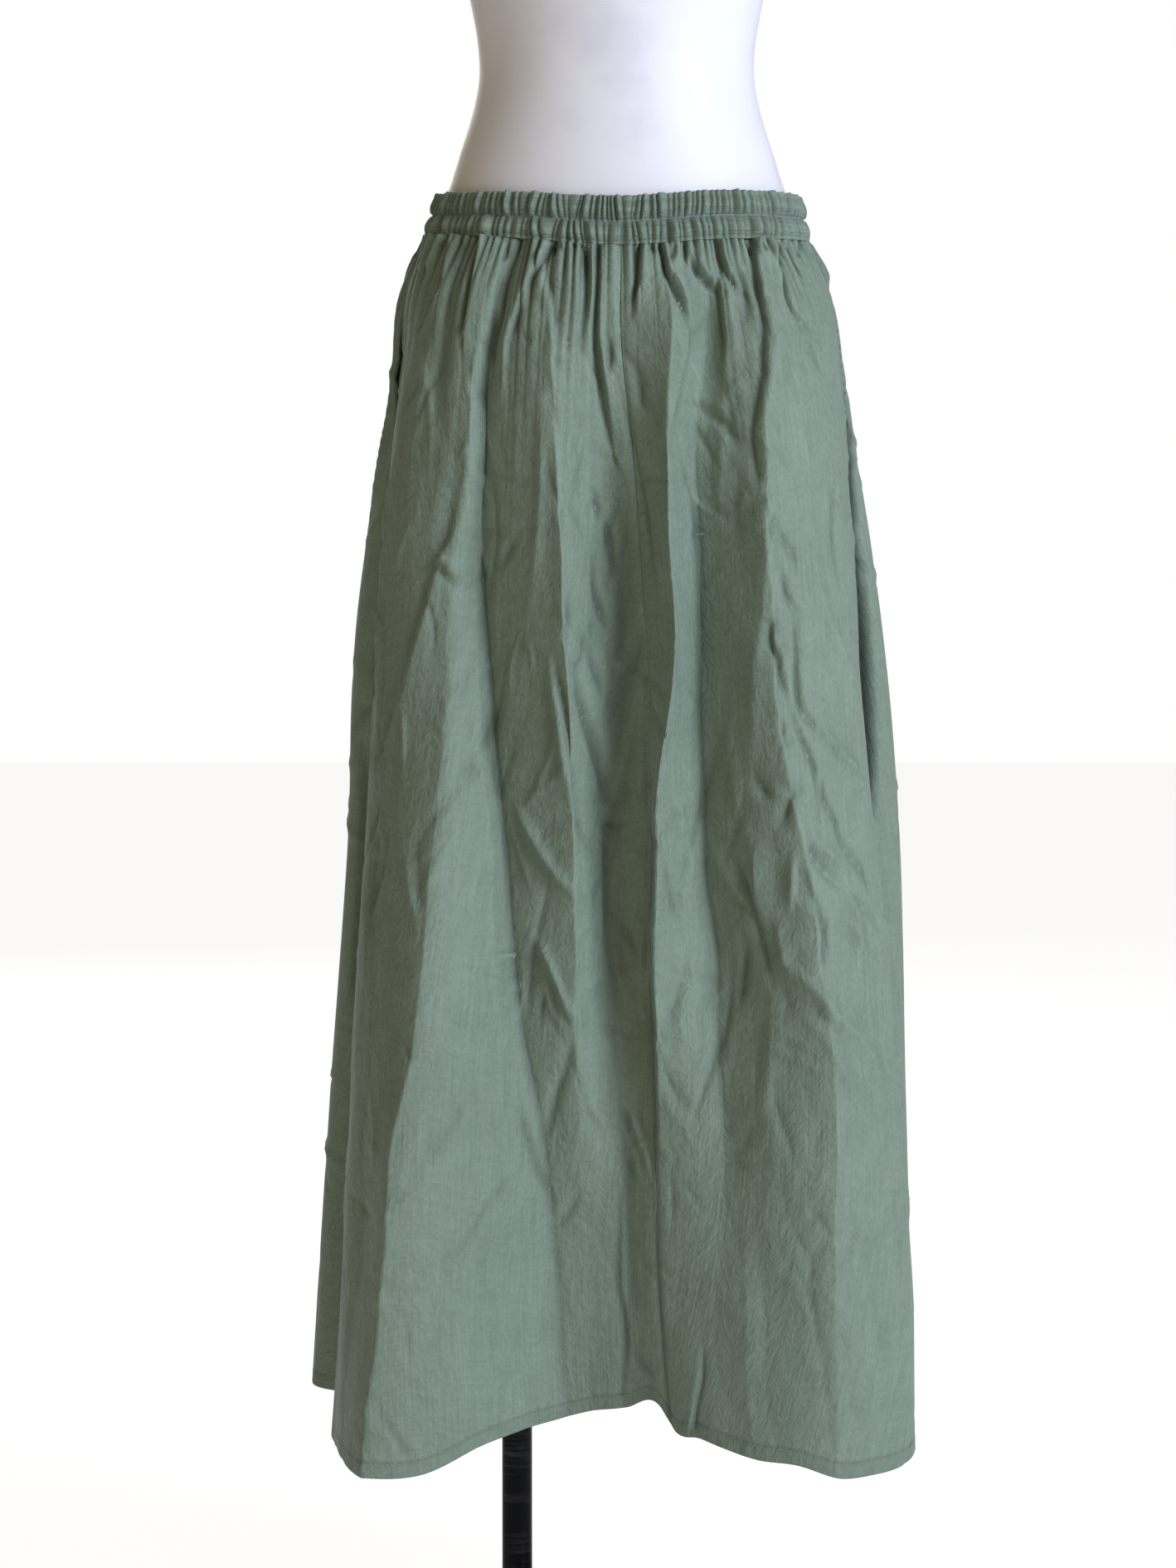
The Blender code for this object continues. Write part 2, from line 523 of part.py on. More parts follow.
def turned_collar(name, x, y, radius, low, high, bore, finish):
    """Collar with a round bore and an eased top and bottom edge."""
    angles = np.linspace(0.0, 2.0 * math.pi, ROUND_COLUMNS, endpoint=False)

    def circle(size, height):
        return np.stack([x + size * np.sin(angles), y - size * np.cos(angles),
                         np.full(ROUND_COLUMNS, height)], axis=-1)

    profile = ((radius - EDGE_ROUND, low), (radius, low + EDGE_ROUND),
               (radius, high - EDGE_ROUND), (radius - EDGE_ROUND, high))
    outer = np.array([circle(size, height) for size, height in profile])
    inner = np.array([circle(bore, height) for _, height in profile])
    return ring_wall(name, outer, inner, finish)


def stand(black, plate):
    """Base plate, pole and the two collars that hold the pole."""
    turned_solid("stand_base", 0.0, 0.0,
                 ((BASE_RADIUS - EDGE_ROUND, 0.0), (BASE_RADIUS, EDGE_ROUND),
                  (BASE_RADIUS, BASE_HEIGHT - EDGE_ROUND), (BASE_RADIUS - EDGE_ROUND, BASE_HEIGHT)),
                 plate)
    foot = BASE_HEIGHT + SEAM_GAP
    form_foot = FORM_SECTIONS[0].height - SEAM_GAP
    turned_solid("stand_pole", POLE_X, POLE_Y,
                 ((POLE_RADIUS, foot), (POLE_RADIUS, form_foot)), black)
    bore = POLE_RADIUS + SEAM_GAP
    turned_collar("stand_collar", POLE_X, POLE_Y, COLLAR_RADIUS, foot, foot + COLLAR_HEIGHT,
                  bore, black)
    turned_collar("form_socket", POLE_X, POLE_Y, SOCKET_RADIUS, form_foot - SOCKET_HEIGHT,
                  form_foot, bore, black)


def neck_cap(finish):
    """Plain domed cap on the neck."""
    top = FORM_SECTIONS[-1]
    foot = top.height + SEAM_GAP
    radius = 0.5 * (top.half_width + top.front)
    profile = [(radius * mark.radius, foot + NECK_CAP_HEIGHT * mark.height)
               for mark in NECK_CAP_PROFILE]
    turned_solid("form_neck_cap", 0.0, 0.5 * (top.back - top.front), profile, finish)


def skirt(cloth):
    """Three panels, two pocket bags and the band."""
    left_front = tuple(mark - 360.0 for mark in LEFT_SEAM)
    panel("skirt_front_left", left_front, CENTRE_SEAM, FRONT_COLUMNS, cloth, mouth_first=True)
    panel("skirt_front_right", CENTRE_SEAM, RIGHT_SEAM, FRONT_COLUMNS, cloth, mouth_last=True)
    panel("skirt_back", RIGHT_SEAM, LEFT_SEAM, BACK_COLUMNS, cloth,
          mouth_first=True, mouth_last=True)
    pocket_bag("pocket_bag_left", LEFT_SEAM, -1.0, cloth)
    pocket_bag("pocket_bag_right", RIGHT_SEAM, 1.0, cloth)
    waistband(cloth)


def main():
    clear_scene()
    cloth = material("sage_cloth", (0.17, 0.22, 0.18), 0.75)
    shell = material("form_shell", (0.78, 0.80, 0.86), 0.45)
    black = material("gloss_black", (0.012, 0.012, 0.014), 0.22)
    grey = material("cap_grey", (0.42, 0.43, 0.46), 0.45)
    plate = material("base_black", (0.02, 0.02, 0.022), 0.35)
    skirt(cloth)
    torso(shell)
    neck_cap(grey)
    stand(black, plate)


main()
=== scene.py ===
"""Finished look of an a-line skirt with a two-row elastic waist on its limbless dress form.

Units are metres, +Z is up, the shown front faces -Y and +X is to the right. Angles go round
the body from the centre front, positive towards +X. A drop of 0 is the waist seam and a drop
of 1 is the hem. Every piece is worked out in place, with its object at the origin.
"""
import logging
import math
from collections.abc import Callable, Sequence
from dataclasses import dataclass
from enum import Enum
from typing import Any, NamedTuple

import bpy
import numpy as np
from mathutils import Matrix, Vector


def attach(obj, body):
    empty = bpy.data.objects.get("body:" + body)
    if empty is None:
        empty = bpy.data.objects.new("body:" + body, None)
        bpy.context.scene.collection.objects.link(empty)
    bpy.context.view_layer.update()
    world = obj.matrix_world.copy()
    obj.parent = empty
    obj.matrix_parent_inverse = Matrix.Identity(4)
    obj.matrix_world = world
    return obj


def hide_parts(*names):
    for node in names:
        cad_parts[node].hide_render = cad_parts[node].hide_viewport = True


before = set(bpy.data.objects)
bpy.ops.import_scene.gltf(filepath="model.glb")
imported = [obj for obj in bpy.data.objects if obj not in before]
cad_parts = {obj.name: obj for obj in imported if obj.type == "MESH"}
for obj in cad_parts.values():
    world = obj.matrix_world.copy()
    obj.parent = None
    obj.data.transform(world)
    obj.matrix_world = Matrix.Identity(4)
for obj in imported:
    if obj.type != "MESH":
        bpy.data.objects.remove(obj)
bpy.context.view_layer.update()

MM = 0.001
TURN = 2.0 * math.pi
MEAN_RADIUS = 0.19             # of the skirt, where a length becomes an angle
ROOT = "root"
THREAD_MAP = "thread"          # UV map in metres of cloth: u along the weft, v along the warp
PAINTED_SHADE = "hollow"              # painted shade in folds: how deep in a fold a point lies, 0 on open cloth, 1 in a fold

log = logging.getLogger("skirt")
Array = np.ndarray
Colour = tuple[float, float, float]
Piece = bpy.types.Object
Finish = bpy.types.Material
Socket = bpy.types.NodeSocket


class Slot(Enum):
    """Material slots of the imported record."""

    CLOTH = "sage_cloth"
    SHELL = "form_shell"
    CAP = "cap_grey"
    POLE = "pole_black"
    BASE = "base_black"


class Side(Enum):
    """Sides of the skirt as seen from the front, as signs of x."""

    LEFT = -1.0
    RIGHT = 1.0


# ------------------------------------------------------------------ tables
class Section(NamedTuple):
    """Half sizes of the skirt's plain ring at a height, before its folds."""

    height: float
    left: float
    right: float
    front: float
    back: float
    square: float


SECTIONS = (
    Section(1.052, 0.14, 0.141, 0.103, 0.104, 2.0),
    Section(1.01, 0.158, 0.16, 0.115, 0.116, 2.1),
    Section(0.96, 0.165, 0.1705, 0.122, 0.125, 2.2),
    Section(0.9, 0.175, 0.18, 0.127, 0.135, 2.25),
    Section(0.78, 0.1935, 0.1975, 0.138, 0.15, 2.35),
    Section(0.6, 0.2015, 0.2125, 0.152, 0.168, 2.45),
    Section(0.42, 0.2145, 0.218, 0.166, 0.185, 2.5),
    Section(0.2, 0.229, 0.223, 0.178, 0.202, 2.5),
)

FOLD_HEIGHTS = (1.052, 0.94, 0.6, 0.2)


class Fold(NamedTuple):
    """A large fold from waist to hem.

    Its angles in degrees at the fold heights, its rise in mm at hip, knee and hem, its half
    widths in mm before and after its line, and its crest, 2 for round and less for sharp.
    """

    name: str
    waist: float
    hip: float
    knee: float
    hem: float
    rise_hip: float
    rise_knee: float
    rise_hem: float
    before: float
    after: float
    crest: float


FOLDS = (
    Fold("right side hollow", 84, 84, 80, 84, -8, -29, -6, 46, 22, 2),
    Fold("back right ridge", 112, 116, 118, 120, 3, 9, 14, 36, 36, 2),
    Fold("back right hollow", 136, 138, 139, 140, -3, -12, -24, 28, 34, 2),
    Fold("back centre ridge", 158, 162, 163, 162, 4, 10, 16, 40, 36, 1.9),
    Fold("back hollow", 184, 185, 186, 188, -3, -12, -26, 30, 30, 2),
    Fold("back left ridge", 208, 207, 208, 210, 4, 10, 18, 38, 38, 1.9),
    Fold("back side hollow", 234, 232, 231, 231, -2, -8, -14, 30, 30, 2),
    Fold("left side hollow", 275, 276, 278, 279, -10, -29, -40, 20, 44, 2),
)


# Heights at which a ridge's or a seam's place is given.
RIDGE_HEIGHTS = (1.052, 0.985, 0.925, 0.86, 0.76, 0.64, 0.52, 0.38, 0.28, 0.2)
NARROWEST = 0.2                # least angle between two lines, in degrees


class Ridge(NamedTuple):
    """A ridge or valley line down the front.

    Its sharpness at the waist and at the hem, 0 for round, and its angle in degrees and
    push outwards in mm at the ridge heights.
    """

    name: str
    sharp: tuple[float, float]
    angles: tuple[float, ...]
    pushes: tuple[float, ...]


RIDGES = (
    Ridge("left side hollow", (0, 0),
          (-84.5, -84.5, -84.5, -84, -84, -84, -83, -82, -81.5, -81),
          (0,) * 10),
    Ridge("left side edge", (0, 0),
          (-67.3, -73, -75.2, -75.7, -76.5, -75, -70.5, -66.8, -65.3, -65),
          (0, -0.1, 4.3, 4.2, -0.5, 6.1, 4.6, 3, 2.6, 3.8)),
    Ridge("left hip ridge", (0.9, 0.9),
          (-52.1, -49.1, -51.1, -53.4, -58.4, -62.1, -54.8, -52, -51.5, -51.5),
          (0, 1.1, -2.1, -1.9, -4.3, 0.8, 15.3, 27.6, 33.6, 35.9)),
    Ridge("left ridge", (-0.4, 1.1),
          (-44, -45.8, -46.2, -47.2, -47.2, -44.4, -42.8, -44.3, -44.2, -44.7),
          (0, -0.4, -2.5, -5.7, -7.9, 9.9, 33.8, 52.4, 58.4, 61.3)),
    Ridge("left valley", (1.7, 0.3),
          (-40.4, -42.3, -44, -43.4, -39, -33, -27, -17.5, -13.8, -11.7),
          (0, -9, -18, -26, -35, -33, -33, -39, -42, -45)),
    Ridge("inner left ridge", (1.2, 0.8),
          (-21.9, -22.2, -20, -17.6, -14.3, -12, -11.6, -8.2, -6.8, -6),
          (0, 2.8, 3.8, 5.3, -0.6, -12.3, -22, -37, -41, -45)),
    Ridge("centre valley", (0, 0),
          (-5.4, -4.2, -2.3, -1.2, -0.8, -1, -0.8, 1.5, 1.6, 1.6),
          (0, -12.1, -21.1, -30.6, -41.7, -42.9, -46, -37, -38, -40)),
    Ridge("centre seam", (0.6, 0.6),
          (1.4, 1.1, 3.8, 6.4, 8.6, 9.2, 8.4, 9.2, 10, 12.2),
          (0, -11.2, -19, -21.5, -22.4, -31.6, -38, -21.5, -19.5, -19.5)),
    Ridge("centre ridge", (1.4, 1.2),
          (18.3, 18.2, 16, 15.4, 15.6, 10, 9, 9.5, 10.6, 12.7),
          (0, 5.3, 4.5, 8.7, 7.5, 1.4, -9, -17, -16.5, -16.5)),
    Ridge("right valley", (0.2, 1),
          (37, 31.5, 27.6, 26.2, 25.2, 24.6, 25.8, 23.5, 21.8, 20.8),
          (0, -14, -23, -29, -36, -33, -20, 6, 9, 9)),
    Ridge("right ridge", (1.1, 0.6),
          (56.5, 47, 42.4, 41.1, 39.8, 41.6, 42.7, 41.2, 40.1, 38.8),
          (0, 8.3, 10.5, 13.4, 12.8, 26.9, 44.2, 56, 59, 58)),
    Ridge("right shoulder", (0.2, 0.2),
          (68.1, 64.2, 62.8, 61.5, 59.5, 56.6, 54, 51.6, 50.2, 49),
          (0, 3.9, 7.5, 8.1, 5.9, 16, 34, 54, 62, 63)),
    Ridge("right side edge", (0, 0),
          (75.7, 75.2, 74.4, 73.1, 72.7, 71.2, 67.4, 64.9, 63.8, 63.9),
          (0, 3.9, 1.9, 0.8, -2.1, 1.6, 4.7, 9, 8, 9)),
    Ridge("right side hollow", (0, 0),
          (84, 84, 84, 84, 83, 82, 81, 80, 81, 84),
          (0,) * 10),
)


class WaistMark(NamedTuple):
    """Height of the waist seam and of the band's top edge at an angle in degrees."""

    angle: float
    seam: float
    top: float


WAIST_LINE = tuple(WaistMark(*row) for row in (
    (-180, 1.061, 1.094), (-90, 1.06, 1.0885), (-45, 1.0515, 1.0835), (0, 1.0445, 1.0785),
    (45, 1.0505, 1.0845), (90, 1.055, 1.087), (180, 1.061, 1.094),
))


class HemMark(NamedTuple):
    """Height of the hem's edge at an angle in degrees."""

    angle: float
    height: float


HEM_LINE = tuple(HemMark(*row) for row in (
    (-180, 0.201), (-170, 0.2045), (-162, 0.196), (-152, 0.188), (-120, 0.196), (-90, 0.206),
    (-72, 0.197), (-64, 0.1865), (-56, 0.1891), (-46, 0.1842), (-38, 0.1836), (-30, 0.1978),
    (-22, 0.2055), (-14, 0.2097), (-6, 0.2152), (2, 0.2188), (10, 0.2225), (13, 0.2075),
    (18, 0.2051), (22, 0.201), (28, 0.1954), (34, 0.1936), (40, 0.1848), (46, 0.1862),
    (56, 0.1942), (66, 0.1785), (90, 0.194), (112, 0.174), (130, 0.161), (147, 0.1715),
    (158, 0.1745), (168, 0.179), (174, 0.188), (180, 0.201),
))

# Angle of each seam at the ridge heights, in degrees.
CENTRE_SEAM = (1.4, 1.1, 3.8, 6.4, 8.6, 9.2, 8.4, 9.2, 10.0, 12.2)
RIGHT_SEAM = (88.0, 87.4, 86.8, 85.9, 84.1, 81.2, 77.0, 70.0, 61.0, 50.0)
LEFT_SEAM = (272.0, 272.6, 273.1, 273.6, 274.2, 274.8, 275.3, 275.6, 275.8, 276.0)


class Crease(NamedTuple):
    """A crease pressed or gathered into the cloth.

    Its rise in mm, outwards above 0; its half widths in mm on the side of smaller angles
    (or below it, if it runs round the body) and on the other side; its crest, 2 for round
    and 1 for sharp; the share of the rise at its first and last point; and its path, as
    degrees and as heights.
    """

    rise: float
    before: float
    after: float
    crest: float
    start: float
    end: float
    angles: tuple[float, ...]
    heights: tuple[float, ...]


CREASE_REACH = 3.0             # in half widths, past which a crease is left out
CREASE_TAPER = 0.35            # share of its length over which each end fades
CRINKLE_CREST = 1.5
CRINKLE_END = 0.2


def crease_from(row: Sequence[float]) -> Crease:
    """Crease from a row: its six numbers, then an angle and a height in mm for each point."""
    return Crease(*row[:6], tuple(row[6::2]), tuple(height / 1000.0 for height in row[7::2]))


# Rise, before, after, crest, start, end, then degrees and mm of height for each point.
CREASES = tuple(crease_from(row) for row in (
    # gathers under the band, left.
    (4.5, 2.2, 9, 1.4, 1, 0.2, -64, 1050, -62, 1032, -60.3, 1014, -63.5, 991, -67.2, 981),
    (-3.9, 3, 2, 1.5, 1, 0.3, -64.8, 1048, -63.2, 1032, -61.5, 1014, -65, 991, -69, 981),
    (3.8, 2, 5, 1.4, 1, 0, -78.2, 1048, -78.5, 1034, -78.2, 1024),
    (3.8, 2, 5, 1.4, 1, 0, -69.8, 1048, -70.5, 1034, -73, 1026),
    (3, 5, 10, 1.8, 0.6, 0.3, -63.8, 1046, -60, 1020, -59, 989, -60.8, 965, -61.5, 937, -62.8, 901,
     -62.5, 870),
    (-3.8, 8, 6, 2, 0.5, 0.2, -58.8, 1044, -57.5, 1020, -55.8, 989, -56.2, 951, -56.5, 919),
    (-5.2, 2.5, 2.5, 1.5, 1, 0.5, -52.5, 1050, -51.8, 1044, -51.2, 1030, -50.5, 1012, -50.3, 997,
     -50.5, 987),
    (5.2, 2.5, 12, 1.5, 1, 0.6, -51, 1050, -50.8, 1044, -50, 1028, -49.2, 1010, -49, 995, -49.2,
     983),
    (-6, 3, 5, 1.4, 1, 0.5, -38.8, 1050, -39.8, 1030, -40.2, 1014, -40.2, 999, -41.2, 985, -42,
     967),
    (-3, 2, 2, 1.5, 1, 0, -43.2, 1050, -42, 1042, -42.5, 1034),
    (4.4, 7, 2, 1.3, 0.6, 0.3, -28.8, 1042, -31, 1024, -32.8, 1008, -35.2, 995, -36.8, 979, -37,
     961, -37.2, 945),
    (-4, 1.8, 3, 1.3, 1, 0.6, -25, 1050, -28.5, 1032, -31.3, 1020, -33.2, 1006, -34.5, 991, -35.2,
     985),
    (3.8, 5, 5, 1.8, 0.6, 0, -27.8, 1040, -26.5, 1024, -24.2, 1010, -22.8, 995),
    (-4.5, 5, 4, 1.6, 0.3, 0.3, -25.2, 1028, -23, 1016, -21.5, 999, -21.2, 987),
    (4.5, 10, 8, 1.8, 0.8, 0.3, -20, 1050, -16.8, 1030, -15, 1012, -13.8, 989),
    (-3.8, 2, 2, 1.5, 1, 0, -24.2, 1050, -23.8, 1040),
    (-3, 2, 2, 1.5, 1, 0, -22.8, 1050, -21, 1044),
    (-4.4, 2, 2, 1.4, 1, 0.2, -17, 1050, -13, 1048, -11.5, 1040, -11, 1022, -11.5, 1004, -13, 979),
    (3.8, 2, 4, 1.5, 1, 0.2, -15.5, 1050, -11.2, 1048, -9.8, 1038, -9.8, 1022, -10, 1006, -11.2,
     983),
    (-4.4, 2, 2, 1.4, 1, 0.3, -7.3, 1050, -7.3, 1036, -7.5, 1014, -8, 989, -7.3, 971, -6.2, 955, -5,
     937, -2.5, 911, -0.8, 895),
    (3.8, 2, 6, 1.5, 1, 0.2, -5.8, 1050, -6, 1036, -6.2, 1014, -6.5, 989, -5.5, 971, -4.2, 955,
     -2.8, 937, -0.8, 919),
    (-3, 2, 2, 1.5, 1, 0, -10.5, 1050, -11.5, 1042),
    (-3.8, 2.5, 2.5, 1.5, 0.4, 0.2, -3, 983, -2.5, 971, -4.2, 961),
    (-2.2, 2.5, 2.5, 1.5, 0.3, 0.3, -11.8, 973, -8.2, 963, -7.3, 957),
    (-2.7, 2.5, 2.5, 1.5, 0.2, 0.2, -32.8, 985, -30.2, 981, -28, 979),
    (-2.7, 2.5, 2.5, 1.5, 0.2, 0.2, -21.8, 983, -18, 981, -15, 979),
    (-2.2, 2.5, 2.5, 1.5, 0.3, 0.3, -21.2, 969, -18.8, 963, -16.8, 959),
    (-2.2, 2.5, 2.5, 1.5, 0.3, 0.3, -47.8, 979, -44, 975, -43.2, 973),
    (-2.1, 3, 3, 1.6, 0.3, 0.3, -46, 949, -45, 941, -44.2, 935),
    (-2.2, 3, 3, 1.6, 0.3, 0.3, -44, 886, -33.2, 880, -26, 878),
    (-1.5, 2.5, 2.5, 1.6, 0.3, 0.3, -37.5, 860, -32.2, 858, -27.5, 856),
    (-2.2, 2.5, 2.5, 1.6, 0.3, 0.3, -52.8, 985, -51.2, 987, -50, 989),
    # gathers under the band, right.
    (-4.5, 11, 9, 2, 0.1, 0.2, 32.2, 1030, 32.5, 1018, 33.2, 1004, 34, 981, 34.5, 963),
    (-4, 5, 4, 1.6, 0.5, 0.2, 45.8, 1038, 44.2, 1020, 42.8, 1002, 41.2, 985),
    (-4.4, 2, 2, 1.4, 1, 0.2, 9, 1050, 8, 1048, 7.8, 1040, 7.3, 1026, 5.8, 1014, 4.8, 1000),
    (4.2, 2, 8, 1.5, 1, 0.2, 10.2, 1050, 9.2, 1040, 8.5, 1026, 7.3, 1014, 6.2, 999),
    (-4.4, 2, 2, 1.4, 1, 0, 13.5, 1050, 13.2, 1050, 14.3, 1044),
    (-5.5, 2.5, 2.5, 1.4, 1, 0.4, 16.5, 1050, 17.2, 1042, 17.5, 1030, 20.2, 1018, 23, 1004, 24,
     997),
    (4.4, 2, 6, 1.5, 1, 0.3, 18.2, 1050, 19, 1042, 19.2, 1032, 22, 1020, 24.2, 1006, 25.2, 993),
    (4.4, 4, 2, 1.3, 0.5, 0.5, 23.5, 985, 22.8, 973, 21, 961, 19.2, 947, 17, 931, 15.8, 919),
    (-4, 1.8, 3, 1.4, 0.6, 0.2, 25.2, 981, 24, 971, 22.2, 959, 20.5, 945, 18.5, 931),
    (-3.8, 2, 2, 1.4, 1, 0, 22, 1050, 21.2, 1044, 18.8, 1038),
    (-4.4, 2, 2, 1.4, 1, 0, 26.3, 1050, 26.3, 1046, 25.8, 1034),
    (-4.5, 2.5, 2.5, 1.4, 0.6, 0.4, 28.2, 1038, 29.2, 1030, 32.5, 1022, 34.8, 1016),
    (3.8, 2, 6, 1.5, 0.6, 0.3, 30.2, 1040, 31.8, 1030, 34.5, 1024, 36.5, 1018),
    (-4.4, 2, 2, 1.4, 1, 0.3, 38.8, 1050, 38.5, 1036, 39.5, 1024, 42.5, 1014),
    (4.4, 2, 6, 1.5, 1, 0.3, 39.8, 1050, 39.8, 1036, 41.2, 1026, 43.8, 1016),
    (7, 6, 10, 1.5, 0.3, 0.3, 38.8, 1028, 37, 1018, 36.8, 1006, 36.8, 993, 36.8, 979, 36.5, 965,
     36.5, 951, 36.5, 939),
    (-4, 2.2, 1.8, 1.4, 0.4, 0.3, 37.8, 1028, 36, 1020, 35.8, 1006, 35.8, 993, 36, 979, 35.8, 965),
    (-3, 2.5, 2.5, 1.5, 0.3, 0.2, 26.3, 987, 28, 985, 32.2, 997),
    (-4.4, 3, 2, 1.4, 1, 0.6, 52.5, 1050, 49.8, 1036, 47.5, 1016, 46.5, 1000, 45.8, 985, 44.5, 967,
     43.8, 955, 42.2, 939, 40.8, 925, 40, 915, 39.8, 899, 40, 882),
    (4.4, 2, 6, 1.5, 1, 0.3, 53.5, 1050, 50.8, 1036, 48.8, 1016, 48.2, 1008),
    (6, 8, 10, 1.6, 0.3, 0.3, 47.8, 1000, 48, 987, 48.2, 977, 46.5, 963, 45.2, 953, 44, 937, 42.5,
     919),
    (-3.8, 2, 2, 1.4, 1, 0, 50.3, 1050, 50.8, 1046, 50.3, 1038),
    (-4.4, 2, 2, 1.4, 1, 0.4, 63.2, 1050, 59.8, 1038, 58.2, 1026, 56.5, 1012, 57.2, 999, 60, 991,
     63.5, 987),
    (3.8, 5, 2.5, 1.5, 1, 0.3, 60.5, 1050, 57.2, 1036, 56.5, 1026, 55, 1014),
    (-3.8, 2, 2, 1.4, 1, 0, 54.5, 1048, 54.5, 1044, 55, 1042),
    (-4.4, 2, 2, 1.4, 1, 0.2, 67, 1048, 66.2, 1040, 66.5, 1032, 66.2, 1022),
    (-3.3, 2, 2, 1.4, 1, 0, 76.5, 1050, 71.5, 1044, 70, 1038),
    (-3, 3, 3, 1.5, 0.3, 0.3, 55.8, 995, 60, 991, 63.8, 989),
    (3.3, 3, 3, 1.5, 0.3, 0.3, 54.8, 985, 60, 977, 64.8, 971),
    (-2.4, 3, 3, 1.5, 0.3, 0.3, 55.2, 979, 60.3, 971, 63.8, 955),
    (-3.8, 3, 4, 1.6, 0.3, 0.3, 25, 939, 30.2, 929, 33.8, 921, 35.8, 911, 37.2, 899),
    (-2.7, 4, 4, 1.8, 0.3, 0.3, 2.2, 975, 7, 957, 7.8, 939, 11.8, 929),
    (2.4, 3, 3, 1.5, 0.3, 0.3, 41, 909, 43.8, 899, 46.5, 886),
    (-2.2, 3, 3, 1.5, 0.3, 0.3, 40, 868, 42, 860, 44.5, 850),
    (-1.5, 2, 2, 1.5, 0.3, 0.3, 57.5, 874, 60.8, 868, 64.5, 862),
    # creases across, from the packet.
    (-2.2, 1.8, 1.8, 1.3, 0.5, 0.5, 1.5, 993, 10.2, 993, 18.2, 991),
    (-2.2, 1.8, 1.8, 1.3, 0.5, 0.5, -35.5, 941, -22.2, 941, -8.2, 943),
    (-2.2, 1.8, 1.8, 1.3, 0.5, 0.5, 3.5, 884, 14.3, 884, 26, 880),
    (-1.8, 1.8, 1.8, 1.3, 0.5, 0.5, -49.2, 838, -37.2, 844, -17.8, 848),
    (-1.8, 1.8, 1.8, 1.3, 0.5, 0.5, 15.5, 840, 25.8, 842, 30.8, 844),
    (-2.2, 2, 2, 1.3, 0.5, 0.5, -6, 654, -2.2, 652, 1.8, 654),
    (-2.8, 2, 2, 1.3, 0.5, 0.5, -4.8, 636, -1.5, 634, 1.5, 636),
    (-2.4, 1.6, 1.6, 1.3, 0.5, 0.5, -32.5, 545, -29, 541, -24, 539),
    (-1.3, 2.2, 3, 1.3, 0.5, 0.5, -43, 321, -39.5, 321, -36, 321),
    (-0.9, 1.8, 1.8, 1.3, 0.5, 0.5, -43.2, 305, -37.2, 303, -30, 289),
    (-0.9, 2, 2, 1.3, 0.5, 0.5, -40.2, 303, -40, 287, -39.5, 275),
    (-0.7, 2, 2, 1.3, 0.5, 0.5, -44, 267, -38, 265, -30.2, 253),
    # the middle, left.
    (3.6, 2.4, 7, 1.3, 0.3, 0.3, -71.5, 886, -71.8, 862, -71.5, 838, -69.2, 779, -67, 727, -66.8,
     697),
    (5.2, 3.5, 16, 1.3, 0.2, 0.3, -41.8, 943, -44.8, 895, -46.8, 848, -50.5, 818, -53, 783, -55,
     753, -57, 723, -60.5, 695, -63.5, 674),
    (3.8, 2.5, 2.5, 1.3, 0.4, 0.3, -53, 828, -48.8, 818, -44.8, 806),
    (-2.8, 3, 3, 1.3, 0.3, 0.3, -51.5, 818, -48.5, 808, -45.8, 800),
    (-2.8, 2.5, 2.5, 1.3, 0.3, 0.3, -36.2, 818, -33.5, 828, -30.8, 838),
    (-3, 2, 2, 1.3, 0.3, 0.3, -14.3, 800, -14, 783, -15, 773, -14.5, 765),
    (-3.3, 2.2, 2.2, 1.3, 0.3, 0.3, -10.5, 773, -9.8, 765, -10.5, 755, -11.8, 747, -14, 755),
    (-3.8, 2.5, 2.5, 1.3, 0.3, 0.3, -7.8, 874, -6.5, 866, -5.5, 856),
    (-3.8, 2.5, 2.5, 1.3, 0.3, 0.3, -3.7, 856, -2.2, 840, -1.5, 818),
    (-3.8, 2.5, 2.5, 1.3, 0.3, 0.3, -7.5, 826, -6.5, 802, -4.5, 786, -3.2, 779),
    (-6, 4, 5, 1.5, 0.3, 0.4, -11.8, 747, -10.8, 731, -9, 713, -6.8, 693, -5, 676, -4, 658),
    (3.8, 5, 9, 1.5, 0.3, 0.3, -9.8, 747, -9.2, 731, -7.3, 713, -5.2, 695, -3.5, 676),
    (4.5, 5, 3, 1.4, 0.3, 0.3, -19.5, 751, -18.2, 733, -16.5, 713, -14.8, 681, -13, 656),
    (-3.8, 2.5, 3, 1.3, 0.3, 0.3, -18, 749, -16.8, 733, -15, 713, -12.8, 681, -11.8, 654, -10.2,
     632),
    (5.2, 5, 3.5, 1.4, 0.3, 0.3, -28.2, 646, -26.8, 638, -23, 624, -20, 612, -16.8, 600, -13.8, 592,
     -9.8, 580),
    (3.4, 2.5, 2.5, 1.3, 0.3, 0.3, -62, 709, -63.8, 689, -65, 674, -65.5, 660),
    (2.8, 2.5, 2.5, 1.3, 0.3, 0.3, -56.5, 713, -55, 693, -54.5, 670),
    (-3.4, 3, 3, 1.3, 0.5, 0.5, -90, 683, -87.2, 707, -69.2, 731),
    (2, 2.5, 2.5, 1.3, 0.5, 0.3, -44.2, 866, -43.2, 806, -41.8, 761, -40, 719, -38.8, 689, -36.8,
     656, -34.5, 620, -33.5, 588, -32, 545, -30, 501, -28.5, 442, -27.8, 402),
    (-2.8, 2, 2, 1.3, 0.3, 0.3, -11, 638, -9.8, 628, -7.5, 620),
    (-2.2, 2, 2, 1.3, 0.3, 0.3, -3.5, 636, -3, 588, -2.8, 539),
    (-2.8, 3, 3, 1.3, 0.3, 0.3, 0.5, 561, 3, 551, 5.2, 539),
